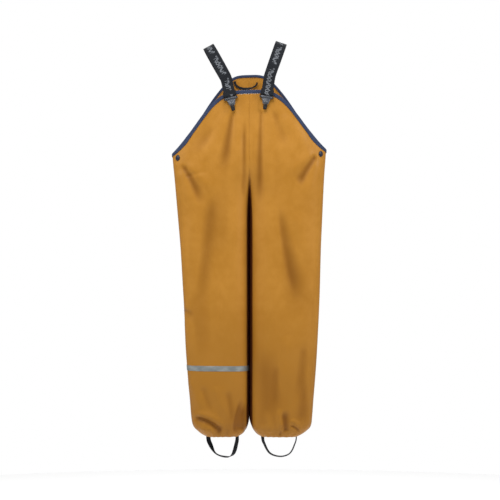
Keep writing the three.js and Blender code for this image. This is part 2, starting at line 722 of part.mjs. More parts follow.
/** The lever: hub on the pin, cam just clear of the binding, tapering plate and a tongue. */
function clipLever() {
  const hubHalf = armIn - SEAT_GAP;
  const tongue = CLIP.tongueHalf;
  const outline = new THREE.Shape();
  outline.moveTo(-hubHalf, -CLIP.pinDrop + 1.6);
  outline.lineTo(hubHalf, -CLIP.pinDrop + 1.6);
  outline.lineTo(hubHalf, -CLIP.pinDrop - 1.6);
  outline.lineTo(CLIP.leverHalf, -CLIP.pinDrop - 3.2);
  outline.lineTo(tongue + 2, -CLIP.metalLong);
  outline.lineTo(tongue, -CLIP.metalLong);
  outline.lineTo(tongue, -CLIP.tipLong + 1.5);
  outline.lineTo(-tongue, -CLIP.tipLong + 1.5);
  outline.lineTo(-tongue, -CLIP.metalLong);
  outline.lineTo(-tongue - 2, -CLIP.metalLong);
  outline.lineTo(-CLIP.leverHalf, -CLIP.pinDrop - 3.2);
  outline.lineTo(-hubHalf, -CLIP.pinDrop - 1.6);
  const upright = new THREE.Matrix4().set(1, 0, 0, 0, 0, 0, -1, 0, 0, 1, 0, 0, 0, 0, 0, 1);
  const face = new THREE.ExtrudeGeometry(outline, { depth: CLIP.leverWall, bevelEnabled: false });
  face.applyMatrix4(upright);
  face.translate(0, barY - CLIP.hubRadius + CLIP.leverWall, 0);
  let lever = solid(face).add(solid(rod(CLIP.hubRadius, hubHalf, barY, -CLIP.pinDrop)));
  const noseTip = -bindingOut - SEAT_GAP;
  lever = lever.add(solid(box(
    [-hubHalf + 2, barY, -CLIP.pinDrop - 1.6], [hubHalf - 2, noseTip, -CLIP.pinDrop + 1.2])));
  return lever.subtract(solid(rod(CLIP.pinRadius + SEAT_GAP, armOut, barY, -CLIP.pinDrop)));
}

/** Black sleeve over the lever's tongue. */
function leverTip() {
  const front = barY - CLIP.hubRadius;
  const back = front + CLIP.leverWall;
  const skin = 0.8 + SEAT_GAP;
  const top = -CLIP.metalLong - SEAT_GAP;
  const sleeve = solid(box(
    [-CLIP.tipHalf, front - skin, -CLIP.tipLong], [CLIP.tipHalf, back + skin, top]));
  const inside = CLIP.tongueHalf + SEAT_GAP;
  return sleeve.subtract(solid(box(
    [-inside, front - SEAT_GAP, -CLIP.tipLong + 1.5 - SEAT_GAP],
    [inside, back + SEAT_GAP, top + 1])));
}

/** Pin through the arms and the lever's hub, with a small head on each end. */
function clipPin() {
  const reach = armOut + SEAT_GAP;
  const head = reach + 0.7;
  const profile = [
    [0, -head],
    [CLIP.pinRadius + 0.7, -head],
    [CLIP.pinRadius + 0.7, -reach],
    [CLIP.pinRadius, -reach],
    [CLIP.pinRadius, reach],
    [CLIP.pinRadius + 0.7, reach],
    [CLIP.pinRadius + 0.7, head],
    [0, head],
  ];
  const pin = new THREE.LatheGeometry(profile.map(([r, z]) => new THREE.Vector2(r, z)), 12);
  pin.rotateZ(Math.PI / 2);
  pin.translate(0, barY, -CLIP.pinDrop);
  return pin;
}

/** Plastic pad on the back plate; the binding's inner leg slides past it. */
const gripPad = () => box(
  [-armIn + 2, CLOTH + bindingOut + SEAT_GAP, -CLIP.pinDrop - 9],
  [armIn - 2, throatBack - SEAT_GAP, -CLIP.pinDrop + 3]);

// ---- Braces ----------------------------------------------------------------------------------
/** The brace from its doubled end, round the clip's bar, over the shoulder to the back. */
function brace(size) {
  const place = clipPlace(size);
  const local = (y, z) => V(0, y, z).applyMatrix4(place);
  const axes = [V(), V(), V()];
  place.extractBasis(...axes);
  const clipAcross = axes[0];
  const frames = [];
  const put = (at, across, run) => frames.push({ at, across, half: BRACE.wide / 2, run });
  const farMid = barY - wrapRadius;
  const closeMid = strapMid - BRACE.thick - SEAT_GAP;
  put(local(closeMid, BRACE.doubled), clipAcross);
  put(local(closeMid, BRACE.doubled * 0.75), clipAcross);
  put(local((closeMid + farMid) / 2, BRACE.doubled * 0.42), clipAcross);
  for (let i = 0; i <= 6; i += 1) {
    const t = (Math.PI * i) / 6;
    put(local(barY - wrapRadius * Math.cos(t), -wrapRadius * Math.sin(t)), clipAcross);
  }
  put(local(strapMid, BRACE.straight * 0.5), clipAcross);
  const foot = local(strapMid, BRACE.straight);
  const top = size.side * SHOULDER_SKEW + (BRACE.thick / 2) * Math.cos(radians(size.tilt));
  const rise = top - foot.z;
  const tiltAt = (q) => radians(THREE.MathUtils.lerp(size.clipTilt, size.tilt, smooth(q)));
  const acrossAt = (angle) => V(Math.cos(angle), 0, -size.side * Math.sin(angle));
  /** Sideways run of the front leg at height `up` above the foot. */
  const sideways = (up) => {
    let x = 0;
    const parts = 24;
    for (let i = 0; i < parts; i += 1) {
      x += Math.tan(tiltAt(((i + 0.5) * up) / parts / BRACE.bendOver)) * (up / parts);
    }
    return foot.x + size.side * x;
  };
  const arc = (t) => {
    const c = Math.cos(t);
    const s = Math.sin(t);
    const r = (Math.abs(c) ** BRACE_ARC_POWER + s ** BRACE_ARC_POWER) ** (-1 / BRACE_ARC_POWER);
    return [c * r, s * r];
  };
  const steps = 9;
  for (let i = 0; i < steps; i += 1) {
    const [y, z] = arc((Math.PI / 2) * (i / steps));
    const up = rise * z;
    put(V(sideways(up), foot.y * y, foot.z + up), acrossAt(tiltAt(up / BRACE.bendOver)));
  }
  const topX = sideways(rise);
  for (const end of [-1, 1]) {
    put(V(topX, (end * BRACE.flat) / 2, top), acrossAt(radians(size.tilt)), V(0, 1, 0));
  }
  const backX = (z) => topX - size.side * Math.tan(radians(size.backTilt)) * (top - z);
  const backAcross = acrossAt(radians(size.backTilt));
  const edgeX = Math.abs(backX(edgeHeight(BACK, size.x) - SHOULDER_HEIGHT));
  const edgeH = edgeHeight(BACK, edgeX);
  const onBack = (h, off) => {
    const x = backX(h - SHOULDER_HEIGHT);
    const u = columnAt(size.side, BACK, Math.abs(x), h);
    const p = offCloth(size.side, BACK, u, h, off);
    return V(x, p.y, h - SHOULDER_HEIGHT);
  };
  const overBinding = bindingOut + SEAT_GAP + BRACE.thick / 2 + 0.2;
  const landing = onBack(edgeH + 3, overBinding);
  const backRise = top - landing.z;
  for (let i = steps - 1; i >= 0; i -= 1) {
    const [y, z] = arc((Math.PI / 2) * (i / steps));
    const height = landing.z + backRise * z;
    put(V(backX(height), landing.y * y, height), backAcross);
  }
  put(onBack(edgeH - BINDING.tall, overBinding), backAcross);
  put(onBack(edgeH - BINDING.tall - 6, SEAT_GAP + BRACE.thick / 2 + 0.3), backAcross);
  put(onBack(edgeH - BRACE.sewn, SEAT_GAP + BRACE.thick / 2 + 0.3), backAcross);
  return ribbon(frames, BRACE.thick);
}

for (const [name, size] of Object.entries(BRACES)) {
  const place = clipPlace(size);
  const put = (piece, geometry, material) =>
    add(`${name}_clip_${piece}`, geometry.applyMatrix4(place), material);
  put("frame", geometryOf(clipFrame()), GUNMETAL());
  put("lever", geometryOf(clipLever()), GUNMETAL());
  put("lever_tip", geometryOf(leverTip()), BLACK_PLASTIC());
  put("pin", clipPin(), GUNMETAL());
  put("grip_pad", gripPad(), BLACK_PLASTIC());
  add(`${name}_brace`, brace(size), ELASTIC());
}

export default garment;
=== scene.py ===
"""Child's rain dungarees in coated cloth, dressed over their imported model.

The garment's cloth is one analytic surface of four halves.  A point of it has a side (+1 is
the wearer's left), a face (-1 front, +1 back), a share u from 0 at the side seam to 1 at the
middle, and a height h above the hem.  Shapes are worked out in millimetres and put into
meshes in metres, with the origin between the shoulders, +Z up and the front facing -Y.
"""

import logging
import math
from dataclasses import dataclass, field
from enum import Enum
from typing import Callable, Sequence, Union

import bmesh
import bpy
import numpy as np
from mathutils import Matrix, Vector


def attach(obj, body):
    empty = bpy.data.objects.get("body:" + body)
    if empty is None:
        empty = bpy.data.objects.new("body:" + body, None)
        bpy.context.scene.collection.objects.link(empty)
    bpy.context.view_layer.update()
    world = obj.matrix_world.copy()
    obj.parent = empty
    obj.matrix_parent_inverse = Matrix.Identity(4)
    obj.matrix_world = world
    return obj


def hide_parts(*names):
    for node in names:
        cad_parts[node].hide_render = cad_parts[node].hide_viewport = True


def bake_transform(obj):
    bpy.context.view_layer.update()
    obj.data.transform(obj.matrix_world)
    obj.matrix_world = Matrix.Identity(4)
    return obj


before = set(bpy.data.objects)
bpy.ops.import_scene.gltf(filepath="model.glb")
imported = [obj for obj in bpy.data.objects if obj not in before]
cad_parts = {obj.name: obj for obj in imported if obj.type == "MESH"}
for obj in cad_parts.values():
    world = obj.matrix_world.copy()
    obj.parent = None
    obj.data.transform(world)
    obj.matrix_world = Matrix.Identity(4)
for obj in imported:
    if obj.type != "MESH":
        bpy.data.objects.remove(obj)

logging.basicConfig(level=logging.INFO, format="%(name)s: %(message)s")
log = logging.getLogger("dungarees")

Array = np.ndarray
Number = Union[float, Array]
Colour = tuple[float, float, float]
Material = bpy.types.Material
Piece = bpy.types.Object

MM = 0.001
FRONT, BACK = -1, 1
SIDES = {"left": 1, "right": -1}

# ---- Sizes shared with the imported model, in millimetres ----
CLOTH = 1.0
SEAM_GAP = 0.3
SEAT_GAP = 0.3
SQUARENESS = 3
CROTCH_HEIGHT = 430.0
CORNER_HEIGHT = 591.0
CORNER_HALF = 161.0
SHOULDER_HEIGHT = 816.0
SHOULDER_SKEW = 3.8
HANG_SKEW, HANG_SKEW_FROM, HANG_SKEW_OVER = 4.5, 450.0, 140.0
TOP_EDGE = {FRONT: (716.5, 66.0), BACK: (757.0, 44.0)}
EDGE_POWER = 4
EDGE_DIP, EDGE_DIP_FROM = 7.5, 72.0
LEAN, LEAN_FROM, LEAN_OVER = 5.0, 600.0, 360.0
FOLD_IN = {FRONT: (625.0, 2.0), BACK: (600.0, 2.5)}
HEM_LOW, HEM_FLOOR, HEM_TURN_UP = -4.0, -2.8, 13.0
HEM_ELASTIC = 1.5
HEM_SWING = {1: 3.0, -1: 0.0}
HEM_SWING_OVER = 44.0

# height, half width, depth of the front half, depth of the back half
BODY_ROWS = np.array([
    [-4, 93, 29, 28],
    [1, 103, 34, 33],
    [8, 113, 39, 38],
    [16, 121.5, 43, 42],
    [30, 126, 46, 45],
    [71, 129.5, 48, 47],
    [155, 136, 49, 48],
    [281, 142.5, 52, 52],
    [386, 147, 55, 58],
    [449, 151, 57, 64],
    [533, 156.5, 59, 66],
    [CORNER_HEIGHT, CORNER_HALF, 60, 62],
    [660, 162, 56, 57],
    [757, 162, 50, 50],
], float)
# height, distance of the leg's inner side from the middle
INNER_ROWS = np.array([
    [-4, 23], [1, 15], [8, 8.5], [16, 4], [30, 1.7], [71, 1.1], [200, 0.8], [CROTCH_HEIGHT, SEAM_GAP / 2],
], float)

BINDING_TALL, BINDING_WALL, BINDING_PLAY = 7.0, 0.8, 0.45
BINDING_OUT = BINDING_WALL + BINDING_PLAY
TAB_FOLD_X, TAB_FOLD_LOW = 100.0, 530.0
SNAP_X, SNAP_HEIGHT, SNAP_ROOM, SNAP_POST, SNAP_DISH = 148.5, 582.0, 5.6, 1.4, 0.8
BRACE_WIDE, BRACE_THICK = 24.0, 1.5
CLIP_DROP, BAR_RADIUS = 8.0, 1.3


@dataclass(frozen=True)
class BraceSize:
    """Where a brace meets the bib, and how it leans at the clip, in front and behind."""

    x: float
    clip_tilt: float
    tilt: float
    back_tilt: float


BRACES = {1: BraceSize(36.6, 8.6, 18.6, 20.4), -1: BraceSize(39.6, 12.8, 28.4, 30.2)}


def smooth(t: Number) -> Number:
    """0 below 0, 1 above 1, and 3t^2 - 2t^3 between."""
    c = np.clip(t, 0.0, 1.0)
    return c * c * (3 - 2 * c)


def past(distance: Number, start: float, over: float) -> Number:
    """0 up to start, 1 from `over` further on, smooth between."""
    return smooth((distance - start) / over)


def unit(v: Array) -> Array:
    """Vectors along the last axis divided by their lengths."""
    return v / np.maximum(np.linalg.norm(v, axis=-1, keepdims=True), 1e-12)


def along(rows: Array, h: Number, column: int = 1) -> Array:
    """Reads a table of heights as a smooth curve: a cubic through the rows whose slope at each
    row is that from the row before to the row after.

    Args:
        rows: the table, its first column rising.
        h: heights to read it at.
        column: the column to read.

    Returns:
        The values at those heights.
    """
    heights, values = rows[:, 0], rows[:, column]
    before = np.r_[0, np.arange(len(rows) - 1)]
    after = np.r_[np.arange(1, len(rows)), len(rows) - 1]
    slopes = (values[after] - values[before]) / (heights[after] - heights[before])
    h = np.clip(h, heights[0], heights[-1])
    i = np.clip(np.searchsorted(heights, h, side="right") - 1, 0, len(rows) - 2)
    step = heights[i + 1] - heights[i]
    t = (h - heights[i]) / step
    ease = t * t * (3 - 2 * t)
    start = t * (1 - t) ** 2 * step * slopes[i]
    end = t * t * (t - 1) * step * slopes[i + 1]
    return values[i] * (1 - ease) + values[i + 1] * ease + start + end


class Cloth:
    """The garment's cloth before its folds."""

    @staticmethod
    def edge_height(face: int, x: Number) -> Number:
        """Height of a top edge at x: level to its knee, then falling as (x^4 + knee^4)^(1/4), with
        a hollow t^2 (1 - t) deep towards the corner.

        Args:
            face: front or back.
            x: distance from the middle.

        Returns:
            The height above the hem.
        """
        top, knee = TOP_EDGE[face]
        fall = lambda d: (np.abs(d) ** EDGE_POWER + knee**EDGE_POWER) ** (1 / EDGE_POWER) - knee
        t = np.clip((np.abs(x) - EDGE_DIP_FROM) / (CORNER_HALF - EDGE_DIP_FROM), 0, 1)
        hollow = EDGE_DIP * t * t * (1 - t) * 27 / 4
        return top - (top - CORNER_HEIGHT) * fall(x) / fall(CORNER_HALF) - hollow

    @staticmethod
    def sunk(face: int, h: Number) -> Number:
        """How far the cloth has sunk between the legs: a smooth step down to the crotch, to a power."""
        start, power = FOLD_IN[face]
        return smooth((start - h) / (start - CROTCH_HEIGHT)) ** power

    @classmethod
    def point(cls, side: int, face: int, u: Number, h: Number) -> Array:
        """Outer face of the cloth at u and h.

        Each level is half of a rounded oblong |x|^3 + |y|^3 = 1 on its sunk fold's centre; u runs
        round it by angle, further as the fold sinks, until it meets the other leg's.

        Args:
            side: +1 for left.
            face: front or back.
            u: share from the side seam to the middle.
            h: height above the hem.

        Returns:
            Points, three to a place.
        """
        u, h = np.broadcast_arrays(np.asarray(u, float), np.asarray(h, float))
        sunk = cls.sunk(face, h)
        overlap = (1 - (1 - sunk) ** SQUARENESS) ** (1 / SQUARENESS)
        inner = np.maximum(SEAM_GAP / 2, along(INNER_ROWS, h))
        leant = side * LEAN * smooth((LEAN_FROM - h) / LEAN_OVER)
        half = (along(BODY_ROWS, h) + leant - inner) / (1 + overlap)
        angle = np.maximum(0, u) * (np.pi / 2 + np.arctan2(overlap, 1 - sunk))
        c, s = np.cos(angle), np.sin(angle)
        r = (np.abs(c) ** SQUARENESS + np.abs(s) ** SQUARENESS) ** (-1 / SQUARENESS)
        hung = HEM_SWING[side] * smooth((HEM_SWING_OVER + HEM_LOW - h) / HEM_SWING_OVER)
        x = side * (inner + hung + half * (overlap + c * r))
        depth = along(BODY_ROWS, h, 2 if face == FRONT else 3)
        lift = HANG_SKEW * (x / CORNER_HALF) * smooth((h - HANG_SKEW_FROM) / HANG_SKEW_OVER)
        return np.stack([x, face * (SEAM_GAP / 2 + depth * s * r), h - SHOULDER_HEIGHT + lift], -1)

    @classmethod
    def outward(cls, side: int, face: int, u: Number, h: Number) -> Array:
        """Outward direction: the cross product of the steps along u and h.

        Args:
            side: +1 for left.
            face: front or back.
            u: share from the side seam to the middle.
            h: height above the hem.

        Returns:
            Directions of length 1.
        """
        u, h = np.broadcast_arrays(np.asarray(u, float), np.asarray(h, float))
        e = 1e-3
        across = cls.point(side, face, u + e, h) - cls.point(side, face, np.maximum(0, u - e), h)
        up = cls.point(side, face, u, h + 1) - cls.point(side, face, u, h - 1)
        return unit(np.cross(across, up) * (side * face))

    @classmethod
    def off(cls, side: int, face: int, u: Number, h: Number, off: Number) -> Array:
        """A point `off` outside the cloth."""
        return cls.point(side, face, u, h) + cls.outward(side, face, u, h) * np.asarray(off)[..., None]

    @classmethod
    def top_of(cls, side: int, face: int, u: Number) -> Array:
        """Height of the top edge on column u, found by repeating edge_height from its own x."""
        h = np.full(np.shape(u), CORNER_HEIGHT)
        for _ in range(12):
            h = cls.edge_height(face, cls.point(side, face, u, h)[..., 0])
        return h

    @classmethod
    def column_at(cls, side: int, face: int, x: Number, h: Number) -> Array:
        """Column u whose distance from the middle is x at height h, by halving.

        Args:
            side: +1 for left.
            face: front or back.
            x: distance from the middle.
            h: height above the hem.

        Returns:
            The columns.
        """
        x, h = np.broadcast_arrays(np.asarray(x, float), np.asarray(h, float))
        low, high = np.zeros(x.shape), np.full(x.shape, 0.98)
        for _ in range(40):
            u = (low + high) / 2
            outside = np.abs(cls.point(side, face, u, h)[..., 0]) > x
            low, high = np.where(outside, u, low), np.where(outside, high, u)
        return (low + high) / 2


# ---- Folds ----
@dataclass(frozen=True)
class Fold:
    """A soft fold of the cloth along a bowed line, seen from the front or back: places are
    (x, h) in millimetres, rise is above the cloth and widths are at the start and the end."""

    start: tuple[float, float]
    end: tuple[float, float]
    rise: float
    width: tuple[float, float]
    bow: float = 0.0
    lean: float = 0.0
    ends: tuple[float, float] = (0.2, 0.4)

    def relief(self, x: Array, h: Array) -> Array:
        """Rise times exp(-(a / w)^2), where a is the distance from the bowed line and w the width
        there, wider on one side by lean, faded in and out over the ends' shares of the line.

        Args:
            x: places across.
            h: heights above the hem.

        Returns:
            Its rise there.
        """
        way = np.subtract(self.end, self.start)
        length = np.hypot(*way)
        dx, dh = x - self.start[0], h - self.start[1]
        t = (dx * way[0] + dh * way[1]) / length**2
        c = np.clip(t, 0, 1)
        across = (dh * way[0] - dx * way[1]) / length - self.bow * 4 * c * (1 - c)
        width = (self.width[0] * (1 - c) + self.width[1] * c) * (1 + self.lean * np.sign(across))
        window = smooth(t / self.ends[0]) * smooth((1 - t) / self.ends[1])
        return self.rise * np.exp(-((across / width) ** 2)) * window


FRONT_FOLDS = (
    # from the clips
    Fold((-33, 684), (-56, 540), -2.6, (4, 12)),
    Fold((-23, 690), (-27, 500), 2.3, (7, 12)),
    Fold((-52, 676), (-95, 560), 2.2, (8, 18), ends=(0.3, 0.5)),
    Fold((-60, 655), (-112, 585), -1.8, (8, 16), ends=(0.3, 0.5)),
    Fold((25, 692), (20, 470), -2.6, (4, 8), ends=(0.1, 0.3)),
    Fold((-10, 670), (-12, 470), -2.4, (5, 7), ends=(0.3, 0.3)),
    Fold((33, 682), (42, 490), 2.0, (8, 15)),
    Fold((46, 680), (88, 590), -1.8, (6, 16)),
    Fold((64, 668), (122, 592), 2.2, (13, 18)),
    # from the snaps
    Fold((-143, 570), (-97, 470), -3.6, (5, 14), bow=6, lean=0.3, ends=(0.15, 0.45)),
    Fold((-134, 572), (-66, 500), 2.4, (8, 18)),
    Fold((-147, 560), (-122, 470), 2.0, (6, 11)),
    Fold((-136, 541), (-80, 553), -0.9, (3.5, 5), ends=(0.2, 0.3)),
    Fold((144, 582), (101, 517), -3.4, (4.5, 11), bow=-3, lean=-0.3, ends=(0.15, 0.25)),
    Fold((137, 588), (72, 536), 2.2, (8, 18)),
    Fold((147, 572), (120, 486), 2.4, (7, 16)),
    # wearer's right leg
    Fold((-26, 520), (-24, 60), 2.0, (13, 15), ends=(0.2, 0.1)),
    Fold((-74, 510), (-104, 250), -2.0, (12, 16)),
    Fold((-119, 470), (-124, 270), 1.6, (12, 13)),
    Fold((-144, 263), (-112, 250), -1.5, (4, 7)),
    Fold((-126, 246), (-120, 150), 1.4, (9, 11)),
    Fold((-60, 330), (-66, 160), 1.2, (16, 16)),
    # wearer's left leg
    Fold((62, 486), (106, 262), -2.6, (8, 14), bow=-6, lean=0.3, ends=(0.25, 0.35)),
    Fold((98, 470), (126, 330), 2.0, (12, 15)),
    Fold((37, 520), (46, 200), 1.8, (13, 16)),
    Fold((80, 214), (73, 70), 2.4, (11, 15)),
    Fold((114, 196), (106, 66), -2.4, (9, 15)),
    Fold((56, 150), (52, 40), -1.3, (8, 9)),
    Fold((128, 150), (124, 50), 1.4, (8, 10)),
    # gathered hem of the wearer's right leg
    Fold((-122, 120), (-98, 46), 2.0, (7, 9)),
    Fold((-98, 106), (-76, 40), -1.5, (7, 9)),
    Fold((-71, 106), (-46, 30), 2.1, (8, 12)),
    Fold((-44, 96), (-33, 20), -1.5, (7, 7)),
    Fold((-13, 84), (-31, 3), -3.0, (5, 6), bow=-3, lean=0.3, ends=(0.4, 0.1)),
    Fold((-4, 74), (-17, 6), -4.8, (9, 15), ends=(0.5, 0.15)),
    Fold((-117, 38), (-56, 6), -4.8, (5.2, 7.2), bow=8, lean=-0.25, ends=(0.2, 0.12)),
    Fold((-116, 47), (-50, 18), 2.6, (6, 7), bow=8),
    Fold((-104, 20), (-64, 5), 2.2, (8, 6)),
    # gathered hem of the wearer's left leg
    Fold((69, 56), (74, 6), -4.8, (8.5, 6), lean=0.35, ends=(0.4, 0.1)),
    Fold((30, 190), (34, 12), -1.7, (15, 20), ends=(0.4, 0.1)),
    Fold((62, 60), (70, 6), 2.4, (7, 7), ends=(0.3, 0.1)),
    Fold((84, 32), (104, 17), 2.0, (5, 5), bow=4, ends=(0.2, 0.3)),
    Fold((84, 22), (106, 3), -2.6, (2.4, 3), bow=4, ends=(0.2, 0.3)),
    Fold((68, 24), (64, 0), -2.4, (2.5, 3), ends=(0.3, 0.05)),
    Fold((34, 60), (44, 4), 1.6, (8, 9), ends=(0.4, 0.1)),
    Fold((120, 116), (106, 16), -2.2, (9, 12), ends=(0.4, 0.3)),
)
BACK_FOLDS = (
    Fold((-62, 700), (-40, 520), -2.4, (5, 12)),
    Fold((60, 700), (38, 520), -2.4, (5, 12)),
    Fold((-84, 660), (-70, 500), 2.0, (8, 15)),
    Fold((82, 660), (72, 500), 2.2, (8, 15)),
    Fold((-150, 575), (-92, 470), -2.6, (5, 13), bow=6),
    Fold((150, 580), (92, 470), -2.6, (5, 13), bow=-6),
    Fold((-110, 505), (-30, 470), -2.0, (4, 8), bow=-8),
    Fold((110, 500), (30, 462), -2.0, (4, 8), bow=8),
    Fold((-36, 500), (-34, 80), 2.0, (13, 15)),
    Fold((38, 500), (42, 80), 2.0, (13, 15)),
    Fold((-78, 470), (-104, 210), -2.2, (9, 14), bow=5),
    Fold((80, 450), (100, 190), -2.2, (9, 14), bow=-5),
    Fold((-120, 380), (-118, 190), 1.7, (12, 14)),
    Fold((122, 400), (118, 160), 1.7, (12, 14)),
    Fold((-96, 110), (-84, 4), -3.4, (5, 3.5), ends=(0.3, 0.05)),
    Fold((-60, 80), (-62, 4), -3.0, (5, 3.5), ends=(0.3, 0.05)),
    Fold((-40, 96), (-44, 4), 2.6, (8, 8), ends=(0.4, 0.05)),
    Fold((56, 104), (60, 4), -3.4, (5, 3.5), ends=(0.3, 0.05)),
    Fold((92, 88), (86, 4), -3.2, (5, 3.5), ends=(0.3, 0.05)),
    Fold((74, 90), (74, 4), 2.4, (8, 8), ends=(0.4, 0.05)),
)


@dataclass(frozen=True)
class Drape:
    """The folds, gathers, slack and seams that stand on the cloth."""

    seam_half: float = 1.1
    seam_depth: float = 0.55
    felled: float = 7.5
    felled_rise: float = 0.3
    felled_line: float = 0.35
    side_seam: float = 9.5
    side_line: float = 0.4
    line_half: float = 0.8
    gather: float = 1.1
    gathers: int = 17
    gather_fade: float = 20.0
    leg_middle: float = 62.0
    slack: float = 0.55
    sewn_at: float = 66.0

    def folds(self, side: int, face: int, point: Array, h: Array) -> Array:
        """Sum of the face's folds, of gathers that die away above the hem, and of the cloth's
        slack, three long waves.

        Args:
            side: +1 for left.
            face: front or back.
            point: places on the cloth.
            h: their heights above the hem.

        Returns:
            Its rise there.
        """
        x = point[..., 0]
        total = np.zeros(x.shape)
        for fold in FRONT_FOLDS if face == FRONT else BACK_FOLDS:
            total += fold.relief(x, h)
        turn = np.arctan2(point[..., 1], x - side * self.leg_middle)
        share = 0.45 if face == FRONT else 1.3
        wave = np.sin(self.gathers * turn + 1.3 * np.sin(3 * turn + side) + 2 * side)
        total += share * self.gather * wave * np.exp(-np.maximum(h, 0) / self.gather_fade)
        waves = np.sin(x / 23 + h / 61 + side) + np.sin(x / 14 - h / 83 + 2) + np.sin(h / 34 + x / 47)
        return total + self.slack * waves / 1.7

    def calm(self, side: int, face: int, point: Array, h: Array, top: Array) -> Array:
        """Share of the folds that a place shows: none at the top edge, the seams, a snap, under a
        clip and where a brace is sewn, and all of them a finger's width away.

        Args:
            side: +1 for left.
            face: front or back.
            point: places on the cloth.
            h: their heights above the hem.
            top: heights of the top edge over them.

        Returns:
            The share, from 0 to 1.
        """
        x = point[..., 0]
        share = past(top - h, 8, 22) * past(np.abs(x), 1.5, 9)
        share = share * past(along(BODY_ROWS, h) - np.abs(x), 0, 7)
        if face == FRONT:
            away = np.hypot(np.abs(x) - SNAP_X, h - SNAP_HEIGHT)
            share = share * past(away, 7.5, 9)
            beside = past(np.abs(np.abs(x) - BRACES[side].x + 1), 13.5, 6)
            below = past(TOP_EDGE[FRONT][0] - h, 37, 10)
        else:
            beside = past(np.abs(np.abs(x) - self.sewn_at), 24, 8)
            below = past(TOP_EDGE[BACK][0] - h, 78, 14)
        return share * np.maximum(beside, below)

    def seams(self, side: int, face: int, point: Array, h: Array) -> Array:
        """Grooves of the middle and side seams, exp(-(d / half)^2) deep, the step of the middle
        seam's allowance under the wearer's left half, and a line of topstitching by the side.

        Args:
            side: +1 for left.
            face: front or back.
            point: places on the cloth.
            h: their heights above the hem.

        Returns:
            Its rise there.
        """
        d_middle = np.abs(point[..., 0])
        above = past(h, 560, 30)
        total = -self.seam_depth * np.exp(-((d_middle / self.seam_half) ** 2)) * above
        if side > 0:
            step = smooth((self.felled - d_middle) / 0.9) * smooth(d_middle / 1.2)
            total += self.felled_rise * step * above
            total -= self.felled_line * np.exp(-(((d_middle - self.felled) / self.line_half) ** 2)) * above
        reach = along(BODY_ROWS, h) - d_middle
        below = past(SNAP_HEIGHT - h, 26, 20) * past(h, 18, 10)
        if face == FRONT:
            total -= self.side_line * np.exp(-(((reach - self.side_seam) / self.line_half) ** 2)) * below
        return total

    def relief(self, side: int, face: int, u: Array, h: Array, top: Array) -> Array:
        """Folds times the share shown, and the seams.

        Args:
            side: +1 for left.
            face: front or back.
            u: shares from the side seam to the middle.
            h: heights above the hem.
            top: heights of the top edge over them.

        Returns:
            Its rise there.
        """
        point = Cloth.point(side, face, u, h)
        kept = self.calm(side, face, point, h, top)
        return self.folds(side, face, point, h) * kept + self.seams(side, face, point, h)

    def ring(self, side: int, columns: int, h: float, off: float, slope: float = 0.0) -> Array:
        """A ring round a leg that follows its folds.

        Args:
            side: +1 for left.
            columns: places on each half.
            h: height above the hem.
            off: distance outside the cloth.
            slope: how much lower it is at the inseam than at the side.

        Returns:
            Points round the leg.
        """
        u = np.arange(columns) / columns
        parts = []
        for face, share in ((FRONT, u), (BACK, 1 - u)):
            level = h + slope * (0.5 - share)
            relief = self.relief(side, face, share, level, Cloth.top_of(side, face, share))
            parts.append(Cloth.off(side, face, share, level, relief + off))
        return np.concatenate(parts)


# ---- Meshes ----
def grid_quads(rows: int, columns: int, wrap_rows: bool = False, wrap_columns: bool = False) -> Array:
    """Quads between neighbours of a grid of points numbered row by row.

    Args:
        rows: number of rows of points.
        columns: number of points in a row.
        wrap_rows: whether the last row joins the first.
        wrap_columns: whether each row closes on itself.

    Returns:
        Indices, four to a quad.
    """
    i = np.arange(rows if wrap_rows else rows - 1)[:, None]
    j = np.arange(columns if wrap_columns else columns - 1)[None, :]
    i2, j2 = (i + 1) % rows, (j + 1) % columns
    corners = [i * columns + j, i2 * columns + j, i2 * columns + j2, i * columns + j2]
    return np.stack([np.broadcast_to(c, (i.size, j.size)) for c in corners], -1).reshape(-1, 4)


